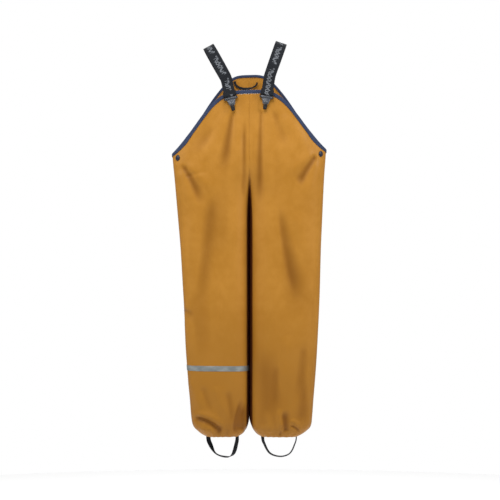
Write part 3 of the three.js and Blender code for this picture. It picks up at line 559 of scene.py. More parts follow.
@dataclass
class Shell:
    """Points, faces and surface coordinates of one piece, in millimetres."""

    points: list[Array] = field(default_factory=list)
    faces: list[Array] = field(default_factory=list)
    coords: list[Array] = field(default_factory=list)
    dips: list[Array] = field(default_factory=list)
    count: int = 0

    def add(self, points: Array, faces: Sequence[Array], coords: Array, dips: Array | None = None) -> None:
        """Adds points with their surface coordinates and the faces between them.

        Args:
            points: points, three to a row.
            faces: groups of faces, each with one number of corners.
            coords: two surface coordinates to a point, in millimetres.
            dips: how deep in a fold and how far in between the legs each point lies, from 0 to 1.
        """
        flat = points.reshape(-1, 3)
        self.faces += [np.asarray(f) + self.count for f in faces if len(f)]
        self.points.append(flat)
        self.coords.append(coords.reshape(-1, 2))
        self.dips.append(np.zeros((len(flat), 2)) if dips is None else dips.reshape(-1, 2))
        self.count += len(flat)

    def outward(self, points: Array, faces: list[Array]) -> list[Array]:
        """Turns a closed body's faces round if the volume under them is negative.

        Args:
            points: the body's points.
            faces: groups of its faces.

        Returns:
            The groups, pointing out.
        """
        total = 0.0
        for group in faces:
            a = points[group[:, 0]]
            for k in range(1, group.shape[1] - 1):
                b, c = points[group[:, k]], points[group[:, k + 1]]
                total += float(np.einsum("ij,ij->", a, np.cross(b, c)))
        return [g[:, ::-1] for g in faces] if total < 0 else faces

    def wall(self, outer: Array, inner: Array, coords: Array, dips: Array | None = None) -> None:
        """A wall between two matching grids, closed round its edge.

        Args:
            outer: grid of points on one face.
            inner: the grid behind it.
            coords: surface coordinates, shared by both.
            dips: how deep in a fold and between the legs each point lies, shared by both.
        """
        rows, columns = outer.shape[:2]
        n = rows * columns
        index = np.arange(n).reshape(rows, columns)
        rim = np.r_[index[0], index[1:, -1], index[-1, -2::-1], index[-2:0:-1, 0]]
        nxt = np.roll(rim, -1)
        faces = [
            grid_quads(rows, columns),
            grid_quads(rows, columns)[:, ::-1] + n,
            np.stack([rim, nxt, nxt + n, rim + n], -1),
        ]
        points = np.concatenate([outer.reshape(-1, 3), inner.reshape(-1, 3)])
        both = None if dips is None else np.concatenate([dips.reshape(-1, 2)] * 2)
        shared = np.concatenate([coords.reshape(-1, 2)] * 2)
        self.add(points, self.outward(points, faces), shared, both)

    def tube(self, grid: Array, coords: Array, closed: bool = False) -> None:
        """A body whose rows are closed sections, with flat ends, or closed on itself.

        Args:
            grid: points, a section to a row.
            coords: their surface coordinates.
            closed: whether the last section joins the first.
        """
        rows, columns = grid.shape[:2]
        faces = [grid_quads(rows, columns, closed, True)]
        points, shared = grid.reshape(-1, 3), coords.reshape(-1, 2)
        if not closed:
            first, last = np.arange(columns), np.arange(columns) + (rows - 1) * columns
            middle = np.stack([grid[0].mean(0), grid[-1].mean(0)])
            points = np.concatenate([points, middle])
            shared = np.concatenate([shared, coords[0].mean(0)[None], coords[-1].mean(0)[None]])
            n = rows * columns
            faces.append(np.stack([np.full(columns, n), first, np.roll(first, -1)], -1))
            faces.append(np.stack([np.full(columns, n + 1), np.roll(last, -1), last], -1))
        self.add(points, self.outward(points, faces), shared)

    @classmethod
    def tubed(cls, grid: Array, coords: Array, closed: bool = False) -> "Shell":
        """A shell that holds one tube.

        Args:
            grid: points, a section to a row.
            coords: their surface coordinates.
            closed: whether the last section joins the first.

        Returns:
            The shell.
        """
        shell = cls()
        shell.tube(grid, coords, closed)
        return shell

    def build(self, name: str, finish: Material, sharp: float = 40.0) -> Piece:
        """Makes the mesh and its object.

        Args:
            name: the piece's name.
            finish: its material.
            sharp: the angle in degrees past which an edge is shaded as a corner.

        Returns:
            The object, at the origin.
        """
        mesh = bpy.data.meshes.new(name)
        points = np.concatenate(self.points) * MM
        loops = np.concatenate([f.reshape(-1) for f in self.faces]).astype(np.int32)
        sizes = np.concatenate([np.full(len(f), f.shape[1]) for f in self.faces]).astype(np.int32)
        starts = np.r_[0, np.cumsum(sizes)[:-1]].astype(np.int32)
        mesh.vertices.add(len(points))
        mesh.vertices.foreach_set("co", points.astype(np.float32).ravel())
        mesh.loops.add(len(loops))
        mesh.loops.foreach_set("vertex_index", loops)
        mesh.polygons.add(len(sizes))
        mesh.polygons.foreach_set("loop_start", starts)
        mesh.polygons.foreach_set("loop_total", sizes)
        mesh.update(calc_edges=True)
        mesh.validate()
        uv = mesh.uv_layers.new(name="Surface")
        coords = np.concatenate(self.coords)[loops] * MM
        uv.data.foreach_set("uv", coords.astype(np.float32).ravel())
        dips = np.concatenate(self.dips).astype(np.float32)
        for column, label in enumerate(("dip", "crevice")):
            attribute = mesh.attributes.new(label, "FLOAT", "POINT")
            attribute.data.foreach_set("value", np.ascontiguousarray(dips[:, column]))
        mesh.polygons.foreach_set("use_smooth", np.ones(len(sizes), bool))
        mesh.set_sharp_from_angle(angle=math.radians(sharp))
        mesh.materials.append(finish)
        made = bpy.data.objects.new(name, mesh)
        bpy.context.scene.collection.objects.link(made)
        return made


def rounded_bar(width: float, thick: float, radius: float, steps: int = 4) -> Array:
    """Section of a webbing: an oblong whose corners are quarter circles.

    Args:
        width: size along the section's second direction.
        thick: size along its first.
        radius: of the corners.
        steps: facets in each corner.

    Returns:
        Points (n, e) round the section.
    """
    parts = []
    corners = ((1, 1), (-1, 1), (-1, -1), (1, -1))
    for k, (a, b) in enumerate(corners):
        t = np.pi / 2 * (k + np.linspace(0, 1, steps + 1))
        n = a * (thick / 2 - radius) + radius * np.cos(t)
        e = b * (width / 2 - radius) + radius * np.sin(t)
        parts.append(np.stack([n, e], -1))
    section = np.concatenate(parts)
    across = np.linspace(-1, 1, 9)[1:-1] * (width / 2 - radius)
    face = np.stack([np.full(7, thick / 2), across], -1)
    rear = np.stack([np.full(7, -thick / 2), -across], -1)
    half = 2 * (steps + 1)
    return np.concatenate([section[-1:], face, section[:half], rear, section[half:-1]])


@dataclass
class Path:
    """Places along a strip with its face direction n and its width direction e, one to a row."""

    at: Array
    n: Array
    e: Array

    @classmethod
    def of(cls, at: Array, across: Array, way: Array | None = None) -> "Path":
        """Frames along points.

        Args:
            at: the points.
            across: the width lies nearest to this, square to the way.
            way: direction along, worked out from the points if it isn't given.

        Returns:
            The frames.
        """
        if way is None:
            way = np.gradient(at, axis=0)
        way = unit(way)
        e = unit(across - way * np.sum(across * way, -1, keepdims=True))
        return cls(at, np.cross(way, e), e)

    def length(self) -> Array:
        """Distance along the path at each place."""
        return np.r_[0, np.cumsum(np.linalg.norm(np.diff(self.at, axis=0), axis=1))]

    def sweep(self, section: Array) -> tuple[Array, Array]:
        """Carries a section along the path: at + n * a + e * b for each of its points (a, b).

        Args:
            section: points (a, b).

        Returns:
            The grid of points, and their surface coordinates: b, and the distance along.
        """
        a, b = section[None, :, 0, None], section[None, :, 1, None]
        grid = self.at[:, None] + self.n[:, None] * a + self.e[:, None] * b
        run = np.broadcast_to(self.length()[:, None], grid.shape[:2])
        return grid, np.stack([np.broadcast_to(b[..., 0], grid.shape[:2]), run], -1)


def spline(knots: Sequence[Sequence[float]], count: int) -> Array:
    """Evenly spaced points on a smooth curve through knots: a cubic on chord lengths to the power
    one half, whose slope at a knot is that between its neighbours.

    Args:
        knots: points that the curve passes, with any further numbers carried along.
        count: how many points to return.

    Returns:
        The points.
    """
    p = np.asarray(knots, float)
    s = np.r_[0, np.cumsum(np.linalg.norm(np.diff(p[:, :3], axis=0), axis=1) ** 0.5)]
    fine = np.linspace(0, s[-1], 1200)
    curve = np.stack([along(np.stack([s, column], -1), fine) for column in p.T], -1)
    run = np.r_[0, np.cumsum(np.linalg.norm(np.diff(curve[:, :3], axis=0), axis=1))]
    even = np.linspace(0, run[-1], count)
    return np.stack([np.interp(even, run, column) for column in curve.T], -1)


# ---- Finishes ----
class Signal:
    """A number in a material's nodes.  Operators on it add Math nodes."""

    def __init__(self, maker: "Maker", socket: bpy.types.NodeSocket) -> None:
        """Wraps an output socket."""
        self.maker, self.socket = maker, socket

    def math(self, operation: str, *values: "Signal | float") -> "Signal":
        """A Math node on these values."""
        return self.maker.signal("ShaderNodeMath", {"operation": operation}, dict(enumerate(values)))

    def __add__(self, other: "Signal | float") -> "Signal":
        """Sum."""
        return self.math("ADD", self, other)

    __radd__ = __add__

    def __mul__(self, other: "Signal | float") -> "Signal":
        """Product."""
        return self.math("MULTIPLY", self, other)

    __rmul__ = __mul__

    def __sub__(self, other: "Signal | float") -> "Signal":
        """Difference."""
        return self.math("SUBTRACT", self, other)

    def __rsub__(self, other: float) -> "Signal":
        """Difference from a number."""
        return self.math("SUBTRACT", other, self)

    def __lt__(self, other: "Signal | float") -> "Signal":
        """1 where this is less."""
        return self.math("LESS_THAN", self, other)

    def __gt__(self, other: "Signal | float") -> "Signal":
        """1 where this is greater."""
        return self.math("GREATER_THAN", self, other)

    def __abs__(self) -> "Signal":
        """Size without sign."""
        return self.math("ABSOLUTE", self)

    def __or__(self, other: "Signal") -> "Signal":
        """The greater of two masks."""
        return self.math("MAXIMUM", self, other)

    def fraction(self) -> "Signal":
        """Part after the decimal point."""
        return self.math("FRACT", self)

    def sine(self) -> "Signal":
        """Sine of this in radians."""
        return self.math("SINE", self)

    def zigzag(self, size: float) -> "Signal":
        """Up to `size` and back down to 0, twice `size` to a turn."""
        return self.math("PINGPONG", self, size)


class Maker:
    """One material's nodes."""

    def __init__(self, name: str) -> None:
        """Starts a material with its surface shader."""
        self.material = bpy.data.materials.new(name)
        self.material.use_nodes = True
        self.tree = self.material.node_tree
        self.tree.nodes.clear()
        self.surface = self.node("ShaderNodeBsdfPrincipled")
        output = self.node("ShaderNodeOutputMaterial")
        self.tree.links.new(self.surface.outputs[0], output.inputs[0])

    def node(self, kind: str, settings: dict | None = None, inputs: dict | None = None) -> bpy.types.Node:
        """Adds a node.

        Args:
            kind: its type.
            settings: its own options, set first.
            inputs: values or links of its sockets, by name or number.

        Returns:
            The node.
        """
        made = self.tree.nodes.new(kind)
        for key, value in (settings or {}).items():
            setattr(made, key, value)
        for key, value in (inputs or {}).items():
            if isinstance(value, Signal):
                self.tree.links.new(value.socket, made.inputs[key])
            else:
                made.inputs[key].default_value = value
        return made

    def signal(self, kind: str, settings: dict | None = None, inputs: dict | None = None,
               output: int | str = 0) -> Signal:
        """Adds a node and gives one of its outputs."""
        return Signal(self, self.node(kind, settings, inputs).outputs[output])

    def surface_map(self) -> Signal:
        """The piece's own surface coordinates, in metres."""
        return self.signal("ShaderNodeUVMap", {"uv_map": "Surface"})

    def object_map(self) -> Signal:
        """Place in the piece, in metres."""
        return self.signal("ShaderNodeTexCoord", output="Object")

    def parts(self, vector: Signal) -> tuple[Signal, Signal, Signal]:
        """The three numbers of a vector."""
        node = self.node("ShaderNodeSeparateXYZ", inputs={0: vector})
        return Signal(self, node.outputs[0]), Signal(self, node.outputs[1]), Signal(self, node.outputs[2])

    def stretched(self, vector: Signal, scale: tuple[float, float, float]) -> Signal:
        """A vector with each direction scaled."""
        return self.signal("ShaderNodeVectorMath", {"operation": "MULTIPLY"}, {0: vector, 1: scale})

    def noise(self, vector: Signal, scale: float, detail: float = 2.0, roughness: float = 0.5) -> Signal:
        """Soft noise from 0 to 1, `scale` grains to the metre."""
        return self.signal("ShaderNodeTexNoise", {"noise_dimensions": "3D"},
                           {"Vector": vector, "Scale": scale, "Detail": detail, "Roughness": roughness})

    def cells(self, vector: Signal, scale: float, output: int | str = 0) -> Signal:
        """Distance from, or colour of, the nearest of `scale` scattered points to the metre."""
        return self.signal("ShaderNodeTexVoronoi", None, {"Vector": vector, "Scale": scale}, output)

    def attribute(self, name: str) -> Signal:
        """A number kept on the piece's points."""
        return self.signal("ShaderNodeAttribute", {"attribute_name": name}, output="Fac")

    def blend(self, share: Signal | float, a: "Signal | tuple", b: "Signal | tuple") -> Signal:
        """Colour a, going to colour b as share goes from 0 to 1."""
        pad = lambda c: c if isinstance(c, Signal) else (*c, 1.0)
        return self.signal("ShaderNodeMix", {"data_type": "RGBA"}, {0: share, 6: pad(a), 7: pad(b)}, 2)

    def step(self, value: Signal, low: float, high: float) -> Signal:
        """0 below low, 1 above high, smooth between."""
        return self.signal("ShaderNodeMapRange", {"interpolation_type": "SMOOTHSTEP"},
                           {0: value, 1: low, 2: high, 3: 0.0, 4: 1.0})

    def bump(self, height: Signal, distance: float, strength: float,
             over: Signal | None = None) -> Signal:
        """A normal bent by a height.

        Args:
            height: the height.
            distance: metres for a height of 1.
            strength: share of the bend that is kept.
            over: a coarser normal to bend.

        Returns:
            The normal.
        """
        inputs = {"Height": height, "Distance": distance, "Strength": strength}
        if over is not None:
            inputs["Normal"] = over
        return self.signal("ShaderNodeBump", inputs=inputs)

    def dress(self, **inputs: "Signal | float | tuple") -> Material:
        """Sets the surface shader's sockets.

        Args:
            inputs: values or links, by the socket's name with underscores for its spaces.

        Returns:
            The finished material.
        """
        for key, value in inputs.items():
            socket = self.surface.inputs[key.replace("_", " ")]
            if isinstance(value, Signal):
                self.tree.links.new(value.socket, socket)
            elif isinstance(value, tuple):
                socket.default_value = (*value, 1.0)
            else:
                socket.default_value = value
        return self.material


@dataclass(frozen=True)
class CoatedCloth:
    """Polyurethane-coated knit: soft satin, a fine grain, slight unevenness, and painted shade in folds,
    between the legs and by the hems.
    """

    name: str = "coated_cloth"
    lit: Colour = (0.375, 0.169, 0.024)
    full: Colour = (0.325, 0.141, 0.016)
    # painted shade: colour of the fold hollows
    deep: Colour = (0.15, 0.052, 0.004)
    # painted shade: the dark strip between the legs
    painted_crevice_shade: Colour = (0.06, 0.014, 0.004)
    # painted shade: the lower legs darken towards the hems
    painted_low_shade: Colour = (0.2, 0.082, 0.008)
    low_shade_full_below: float = -0.73
    low_shade_none_above: float = -0.5
    grain: float = 1500.0

    def low_shade_share(self, m: Maker, mottle: Signal) -> Signal:
        """Share of painted shade towards the hems: none above the knee, growing towards the hem, in soft
        patches.
        """
        height = m.parts(m.object_map())[2]
        return (1 - m.step(height, self.low_shade_full_below, self.low_shade_none_above)) * (0.25 + mottle * 0.4)

    def make(self) -> Material:
        """Builds the material."""
        m = Maker(self.name)
        where = m.surface_map()
        broad = m.noise(where, 7.0, 2.0)
        mottle = m.noise(where, 46.0, 3.0, 0.6)
        colour = m.blend(m.step(broad * 0.6 + mottle * 0.4, 0.32, 0.68), self.full, self.lit)
        # painted shade, darker towards the hems in soft patches
        colour = m.blend(self.low_shade_share(m, mottle), colour, self.painted_low_shade)
        # painted shade: the cloth darkens by how deep each point lies in a fold
        colour = m.blend(m.attribute("dip") * 0.8, colour, self.deep)
        # painted shade: a dark strip between the legs, set by the crevice share
        colour = m.blend(m.attribute("crevice"), colour, self.painted_crevice_shade)
        grain = m.noise(where, self.grain, 2.0, 0.6)
        pebble = m.cells(where, self.grain * 0.6)
        crumple = m.noise(where, 34.0, 2.0, 0.45)
        soft = m.bump(crumple, 0.0011, 0.55)
        fine = m.bump(grain * 0.6 + pebble * 0.4, 0.00007, 0.7, soft)
        return m.dress(Base_Color=colour, Roughness=0.4 + mottle * 0.16, Normal=fine,
                       Specular_IOR_Level=0.13)


class Motif(Enum):
    """What is woven into a webbing."""

    PLAIN = "plain"
    BRAID = "braid"


@dataclass(frozen=True)
class Webbing:
    """Ribbed elastic, plain or with a grey braid woven down its middle."""

    name: str
    motif: Motif = Motif.PLAIN
    ground: Colour = (0.0045, 0.0055, 0.0078)
    yarn: Colour = (0.2, 0.215, 0.235)
    rib: float = 0.0011
    repeat: float = 0.054

    def braid(self, m: Maker, across: Signal, run: Signal) -> Signal:
        """Mask of the braid: two zigzags out of step, short bars between them and a ring, then a
        plain stretch, once in every repeat.

        Args:
            m: the material being made.
            across: metres from the webbing's middle line.
            run: metres along it.

        Returns:
            1 where the grey yarn shows.
        """
        turn = (run * (1 / self.repeat)).fraction()
        first = (turn * 9.0).zigzag(1.0) * 0.0094 - 0.0047
        second = (turn * 6.0 + 0.55).zigzag(1.0) * 0.0094 - 0.0047
        lines = (abs(across - first) < 0.00125) | (abs(across - second) < 0.00105)
        bars = (abs((turn * 12.0).fraction() - 0.5) < 0.12) * (abs(across + 0.001) < 0.0036)
        kept = (turn > 0.06) * (turn < 0.8)
        ring_run = (turn - 0.86) * self.repeat
        ring_across = across - 0.0036
        ring = ring_run.math("SQRT", ring_run * ring_run + ring_across * ring_across)
        dot = abs(ring - 0.0013) < 0.0005
        return (lines | bars) * kept | dot

    def make(self) -> Material:
        """Builds the material."""
        m = Maker(self.name)
        where = m.surface_map()
        across, run, _ = m.parts(where)
        ribs = (run * (2 * math.pi / self.rib)).sine()
        wales = (across * (2 * math.pi / (self.rib * 0.9))).sine()
        fuzz = m.noise(where, 2600.0, 2.0)
        weave = ribs * 0.3 + wales * 0.22 + fuzz * 0.5
        colour = m.blend(fuzz * 0.5, self.ground, tuple(1.9 * c for c in self.ground))
        if self.motif is Motif.BRAID:
            mask = self.braid(m, across, run)
            yarn = m.blend(fuzz, tuple(0.6 * c for c in self.yarn), self.yarn)
            colour = m.blend(mask * (0.72 + ribs * 0.18), colour, yarn)
            weave = weave + mask * 0.5
        return m.dress(Base_Color=colour, Roughness=0.72 + fuzz * 0.16, Normal=m.bump(weave, 0.00022, 0.8),
                       Specular_IOR_Level=0.2, Sheen_Weight=0.04, Sheen_Roughness=0.4)


@dataclass(frozen=True)
class BindingTape:
    """Navy woven tape with a sparse print of light flecks."""

    name: str = "navy_binding"
    ground: Colour = (0.019, 0.028, 0.06)
    fleck: Colour = (0.62, 0.64, 0.68)
    thread: float = 0.0006

    def make(self) -> Material:
        """Builds the material."""
        m = Maker(self.name)
        where = m.surface_map()
        across, run, _ = m.parts(where)
        twill = ((run + across) * (2 * math.pi / self.thread)).sine()
        fuzz = m.noise(where, 1900.0, 2.0)
        slow = m.noise(where, 60.0, 2.0)
        colour = m.blend(fuzz * 0.5 + slow * 0.4, self.ground, tuple(1.5 * c for c in self.ground))
        drops = m.stretched(where, (1.0, 0.55, 1.0))
        near = m.cells(drops, 78.0)
        pick = m.parts(m.cells(drops, 78.0, output="Color"))[0]
        fleck = (near < 0.2) * (pick > 0.72)
        colour = m.blend(fleck * 0.85, colour, self.fleck)
        return m.dress(Base_Color=colour, Roughness=0.7 + fuzz * 0.15, Specular_IOR_Level=0.2,
                       Normal=m.bump(twill * 0.3 + fuzz * 0.7, 0.00012, 0.8))


@dataclass(frozen=True)
class Plated:
    """Dark plated metal, satin with a fine drawn grain."""

    name: str = "gunmetal"
    colour: Colour = (0.085, 0.09, 0.1)
    worn: Colour = (0.12, 0.125, 0.135)
    rough: float = 0.36

    def make(self) -> Material:
        """Builds the material."""
        m = Maker(self.name)
        where = m.object_map()
        drawn = m.noise(m.stretched(where, (1.0, 1.0, 0.06)), 2400.0, 3.0, 0.6)
        cloudy = m.noise(where, 130.0, 3.0, 0.6)
        colour = m.blend(m.step(cloudy, 0.45, 0.75), self.colour, self.worn)
        return m.dress(Base_Color=colour, Metallic=1.0, Roughness=self.rough + drawn * 0.16,
                       Normal=m.bump(drawn, 0.00003, 0.5))


@dataclass(frozen=True)
class Moulded:
    """Moulded plastic or lacquer, with a faint orange-peel."""

    name: str
    colour: Colour
    rough: float = 0.32

    def make(self) -> Material:
        """Builds the material."""
        m = Maker(self.name)
        where = m.object_map()
        peel = m.noise(where, 900.0, 2.0)
        haze = m.noise(where, 160.0, 2.0)
        colour = m.blend(haze * 0.5, self.colour, tuple(1.35 * c + 0.002 for c in self.colour))
        return m.dress(Base_Color=colour, Roughness=self.rough + haze * 0.14,
                       Normal=m.bump(peel, 0.00003, 0.6), Specular_IOR_Level=0.22)


@dataclass(frozen=True)
class BeadTape:
    """Grey retroreflective tape: glass beads under a clear face, with faint rubbed patches."""

    name: str = "reflective_tape"
    ground: Colour = (0.15, 0.165, 0.165)
    bright: Colour = (0.26, 0.275, 0.265)

    def make(self) -> Material:
        """Builds the material."""
        m = Maker(self.name)
        where = m.surface_map()
        beads = m.cells(where, 2400.0)
        rubbed = m.noise(m.stretched(where, (1.0, 0.35, 1.0)), 70.0, 3.0)
        colour = m.blend(m.step(rubbed, 0.35, 0.7), self.ground, self.bright)
        return m.dress(Base_Color=colour, Metallic=0.35, Roughness=0.36 + beads * 0.2,
                       Normal=m.bump(beads, 0.00004, 0.6), Coat_Weight=0.15)


@dataclass(frozen=True)
class Thread:
    """Twisted sewing thread."""

    name: str
    colour: Colour

    def make(self) -> Material:
        """Builds the material."""
        m = Maker(self.name)
        where = m.surface_map()
        across, run, _ = m.parts(where)
        twist = ((run * 1.2 + across) * (2 * math.pi / 0.0007)).sine()
        colour = m.blend(twist * 0.3 + 0.5, tuple(0.7 * c for c in self.colour), self.colour)
        return m.dress(Base_Color=colour, Roughness=0.6, Normal=m.bump(twist, 0.00005, 0.7))


@dataclass
class Finishes:
    """The garment's materials, made once."""

    cloth: Material = field(default_factory=CoatedCloth().make)
    tape: Material = field(default_factory=BindingTape().make)
    brace: Material = field(default_factory=Webbing("brace_webbing", Motif.BRAID).make)
    webbing: Material = field(default_factory=Webbing("plain_webbing", rib=0.0009).make)
    metal: Material = field(default_factory=Plated().make)
    dark_metal: Material = field(default_factory=Plated(
        "blackened_metal", (0.022, 0.023, 0.026), (0.05, 0.052, 0.056), 0.38).make)
    plastic: Material = field(default_factory=Moulded("black_plastic", (0.005, 0.005, 0.006), 0.42).make)
    lacquer: Material = field(default_factory=Moulded("navy_lacquer", (0.011, 0.014, 0.027), 0.36).make)
    band: Material = field(default_factory=BeadTape().make)
    white_thread: Material = field(default_factory=Thread("white_thread", (0.72, 0.72, 0.7)).make)
    navy_thread: Material = field(default_factory=Thread("navy_thread", (0.05, 0.066, 0.12)).make)
    black_thread: Material = field(default_factory=Thread("black_thread", (0.02, 0.022, 0.028)).make)


def settle(piece: Piece, body: str, slot: str, *nodes: str) -> None:
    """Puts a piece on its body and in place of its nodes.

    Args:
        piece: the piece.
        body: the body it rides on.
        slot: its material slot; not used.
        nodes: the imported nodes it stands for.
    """
    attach(piece, body)
    if nodes:
        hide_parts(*nodes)
    log.info("%s rides on %s", piece.name, body)


def bend(piece: Piece, bodies: tuple[str, str], start: Array, end: Array, slot: str,
         *nodes: str) -> None:
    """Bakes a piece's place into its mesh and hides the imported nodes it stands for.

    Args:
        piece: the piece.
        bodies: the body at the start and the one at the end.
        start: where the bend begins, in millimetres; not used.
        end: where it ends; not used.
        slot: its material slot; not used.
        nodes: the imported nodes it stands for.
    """
    tuple(start * MM)
    tuple(end * MM)
    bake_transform(piece)
    if nodes:
        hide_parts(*nodes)
    log.info("%s bends between %s and %s", piece.name, *bodies)


# ---- Stitching ----
@dataclass(frozen=True)
class Stitches:
    """A row of thread stitches lying on a surface, each a small closed grain."""

    pitch: float = 3.1
    long: float = 2.2
    radius: float = 0.24
    sides: int = 6

    def add(self, shell: Shell, at: Array, up: Array) -> None:
        """Lays grains along a path: radius times (1 - (2a/long)^2)^(1/2) round its way, sunk by a
        third of the radius.

        Args:
            shell: where to put them.
            at: points along the path.
            up: the surface's outward direction at each.
        """
        run = np.r_[0, np.cumsum(np.linalg.norm(np.diff(at, axis=0), axis=1))]
        count = max(2, int(run[-1] / self.pitch))
        where = (np.arange(count) + 0.5) * run[-1] / count
        pick = lambda grid: np.stack([np.interp(where, run, grid[:, k]) for k in range(3)], -1)
        middle, n = pick(at), unit(pick(up))
        way = unit(pick(np.gradient(at, axis=0)))
        n = unit(n - way * np.sum(n * way, -1, keepdims=True))
        e = np.cross(way, n)
        a = np.array([-0.5, -0.36, 0.0, 0.36, 0.5]) * self.long
        r = self.radius * np.sqrt(np.maximum(0, 1 - (2 * a / self.long) ** 2))
        t = np.arange(self.sides) * 2 * np.pi / self.sides
        ring = np.stack([np.repeat(a[1:-1], self.sides), np.outer(r[1:-1], np.cos(t)).ravel(),
                         np.outer(r[1:-1], np.sin(t)).ravel()], -1)
        local = np.concatenate([ring, [[a[0], 0, 0], [a[-1], 0, 0]]])
        local[:, 1] += self.radius * 0.34
        grid = (middle[:, None] + way[:, None] * local[None, :, :1] + n[:, None] * local[None, :, 1:2]
                + e[:, None] * local[None, :, 2:])
        rings = len(a) - 2
        quads = grid_quads(rings, self.sides, False, True)
        j, last, poles = np.arange(self.sides), (rings - 1) * self.sides, rings * self.sides
        low = np.stack([np.full(self.sides, poles), j, np.roll(j, -1)], -1)
        high = np.stack([np.full(self.sides, poles + 1), np.roll(j, -1) + last, j + last], -1)
        faces = shell.outward(grid[0], [quads, low, high])
        offsets = (np.arange(count) * len(local))[:, None, None]
        coords = np.stack([np.broadcast_to(local[:, 2], grid.shape[:2]),
                           where[:, None] + local[None, :, 0]], -1)
        shell.add(grid, [(f[None] + offsets).reshape(-1, f.shape[1]) for f in faces], coords)


# ---- Body cloth ----
@dataclass
class Panels:
    """The four cloth halves of the garment, the side tabs part of the front ones."""

    finishes: Finishes
    drape: Drape = field(default_factory=Drape)
    columns: int = 124
    hem_rows: int = 56
    body_rows: int = 256
    hem_zone: float = 60.0
    level_zone: float = 150.0
    deep_fold: float = 3.5
    back_from: float = 260.0
    # each half as it was cut, before it was sewn and hung: width, length and area in metres
    cut: dict[int, tuple[float, float, float]] = field(
        default_factory=lambda: {FRONT: (0.215, 0.745, 0.132), BACK: (0.225, 0.785, 0.141)})

    def grids(self, side: int, face: int) -> tuple[Array, Array, Array, Array]:
        """Outer and inner points, surface coordinates and dips of one half.

        Rows are close together over the hem zone and even above; the inner points lie one
        cloth in from the outer ones.

        Args:
            side: +1 for left.
            face: front or back.

        Returns:
            The two grids of points, the coordinates, and the dip and crevice shares.
        """
        u = np.linspace(0, 1, self.columns + 1)
        top = Cloth.top_of(side, face, u)
        low = HEM_LOW + 0.02
        above = TOP_EDGE[face][0] - self.hem_zone - low
        rise = np.r_[np.linspace(0, 1, self.hem_rows, endpoint=False) * self.hem_zone,
                     self.hem_zone + np.linspace(0, 1, self.body_rows) * above]
        share = rise / rise[-1]
        straight = np.minimum(1.0, rise / self.level_zone)[:, None]
        even = low + (top - low)[None] * share[:, None]
        h = (low + rise)[:, None] * (1 - straight) + even * straight
        uu = np.broadcast_to(u, h.shape)
        tops = np.broadcast_to(top, h.shape)
        relief = self.drape.relief(side, face, uu, h, tops)
        point, out = Cloth.point(side, face, uu, h), Cloth.outward(side, face, uu, h)
        drawn = side * self.drawn_shut(uu, h)
        point = point - np.stack([drawn, 0 * drawn, 0 * drawn], -1)
        outer = point + out * relief[..., None]
        inner = point + out * (relief - CLOTH)[..., None]
        steps = np.linalg.norm(np.diff(point, axis=1), axis=-1)
        arc = np.concatenate([np.zeros((len(h), 1)), np.cumsum(steps, axis=1)], axis=1)
        coords = np.stack([arc + (self.back_from if face == BACK else 0), h * np.ones_like(arc)], -1)
        # the dip share sets painted shade in the fold hollows, the crevice share painted shade between the
        # legs
        dips = np.stack([np.clip(-relief / self.deep_fold, 0, 1), self.crevice(point[..., 0], h)], -1)
        return outer, inner, coords, dips

    @staticmethod
    def drawn_shut(u: Array, h: Array) -> Array:
        """How far the inseams and the middle seam are drawn towards the middle, so that no light
        comes between them: the gap there, faded in over the last of u and above the hem.

        Args:
            u: shares from the side seam to the middle.
            h: heights above the hem.

        Returns:
            Distances towards the middle.
        """
        gap = np.minimum(np.maximum(SEAM_GAP / 2, along(INNER_ROWS, h)), 1.7)
        return gap * past(u, 0.86, 0.14) * past(h, 14, 24)

    @staticmethod
    def crevice(x: Array, h: Array) -> Array:
        """Share of shade between the legs: all within a strip that widens downwards, with soft
        sides, fading out above the crotch and at the hem.

        Args:
            x: places across.
            h: heights above the hem.

        Returns:
            The share, from 0 to 1.
        """
        wide = 2.2 + 3.6 * smooth((535 - h) / 90)
        off = np.abs(x - 0.9)
        return smooth((wide + 1.6 - off) / 3.2) * smooth((556 - h) / 50) * smooth((h + 2) / 22)

    def build(self) -> None:
        """Builds the four halves."""
        for name, side in SIDES.items():
            for face, part in ((FRONT, "front"), (BACK, "back")):
                shell = Shell()
                shell.wall(*self.grids(side, face))
                piece = shell.build(f"{name}_{part}", self.finishes.cloth)
                if face == FRONT:
                    nodes = (f"{name}_front_panel", f"{name}_side_tab")
                    lines = TabFold.of(side).lines()
                    bend(piece, ("root", f"{name}_tab"), *lines, "coated_cloth", *nodes)
                else:
                    settle(piece, "root", "coated_cloth", f"{name}_back_panel")


@dataclass(frozen=True)
class TabFold:
    """The line that a side tab folds on: a point of it, and the direction away to the tab."""

    middle: Array
    away: Array

    @classmethod
    def of(cls, side: int) -> "TabFold":
        """From the top edge to the side seam; away is square to it, seen from the front.

        Args:
            side: +1 for left.

        Returns:
            The fold.
        """
        edge = Cloth.edge_height(FRONT, TAB_FOLD_X)
        top = Cloth.point(side, FRONT, Cloth.column_at(side, FRONT, TAB_FOLD_X, edge), edge)
        low = Cloth.point(side, FRONT, 0.0, TAB_FOLD_LOW)
        away = unit(np.cross(top - low, (0, FRONT, 0)) * side)
        return cls((top + low) / 2, away)

    def lines(self, half: float = 5.0) -> tuple[Array, Array]:
        """Where the bend starts and ends, `half` to either side of the fold."""
        return self.middle - half * self.away, self.middle + half * self.away


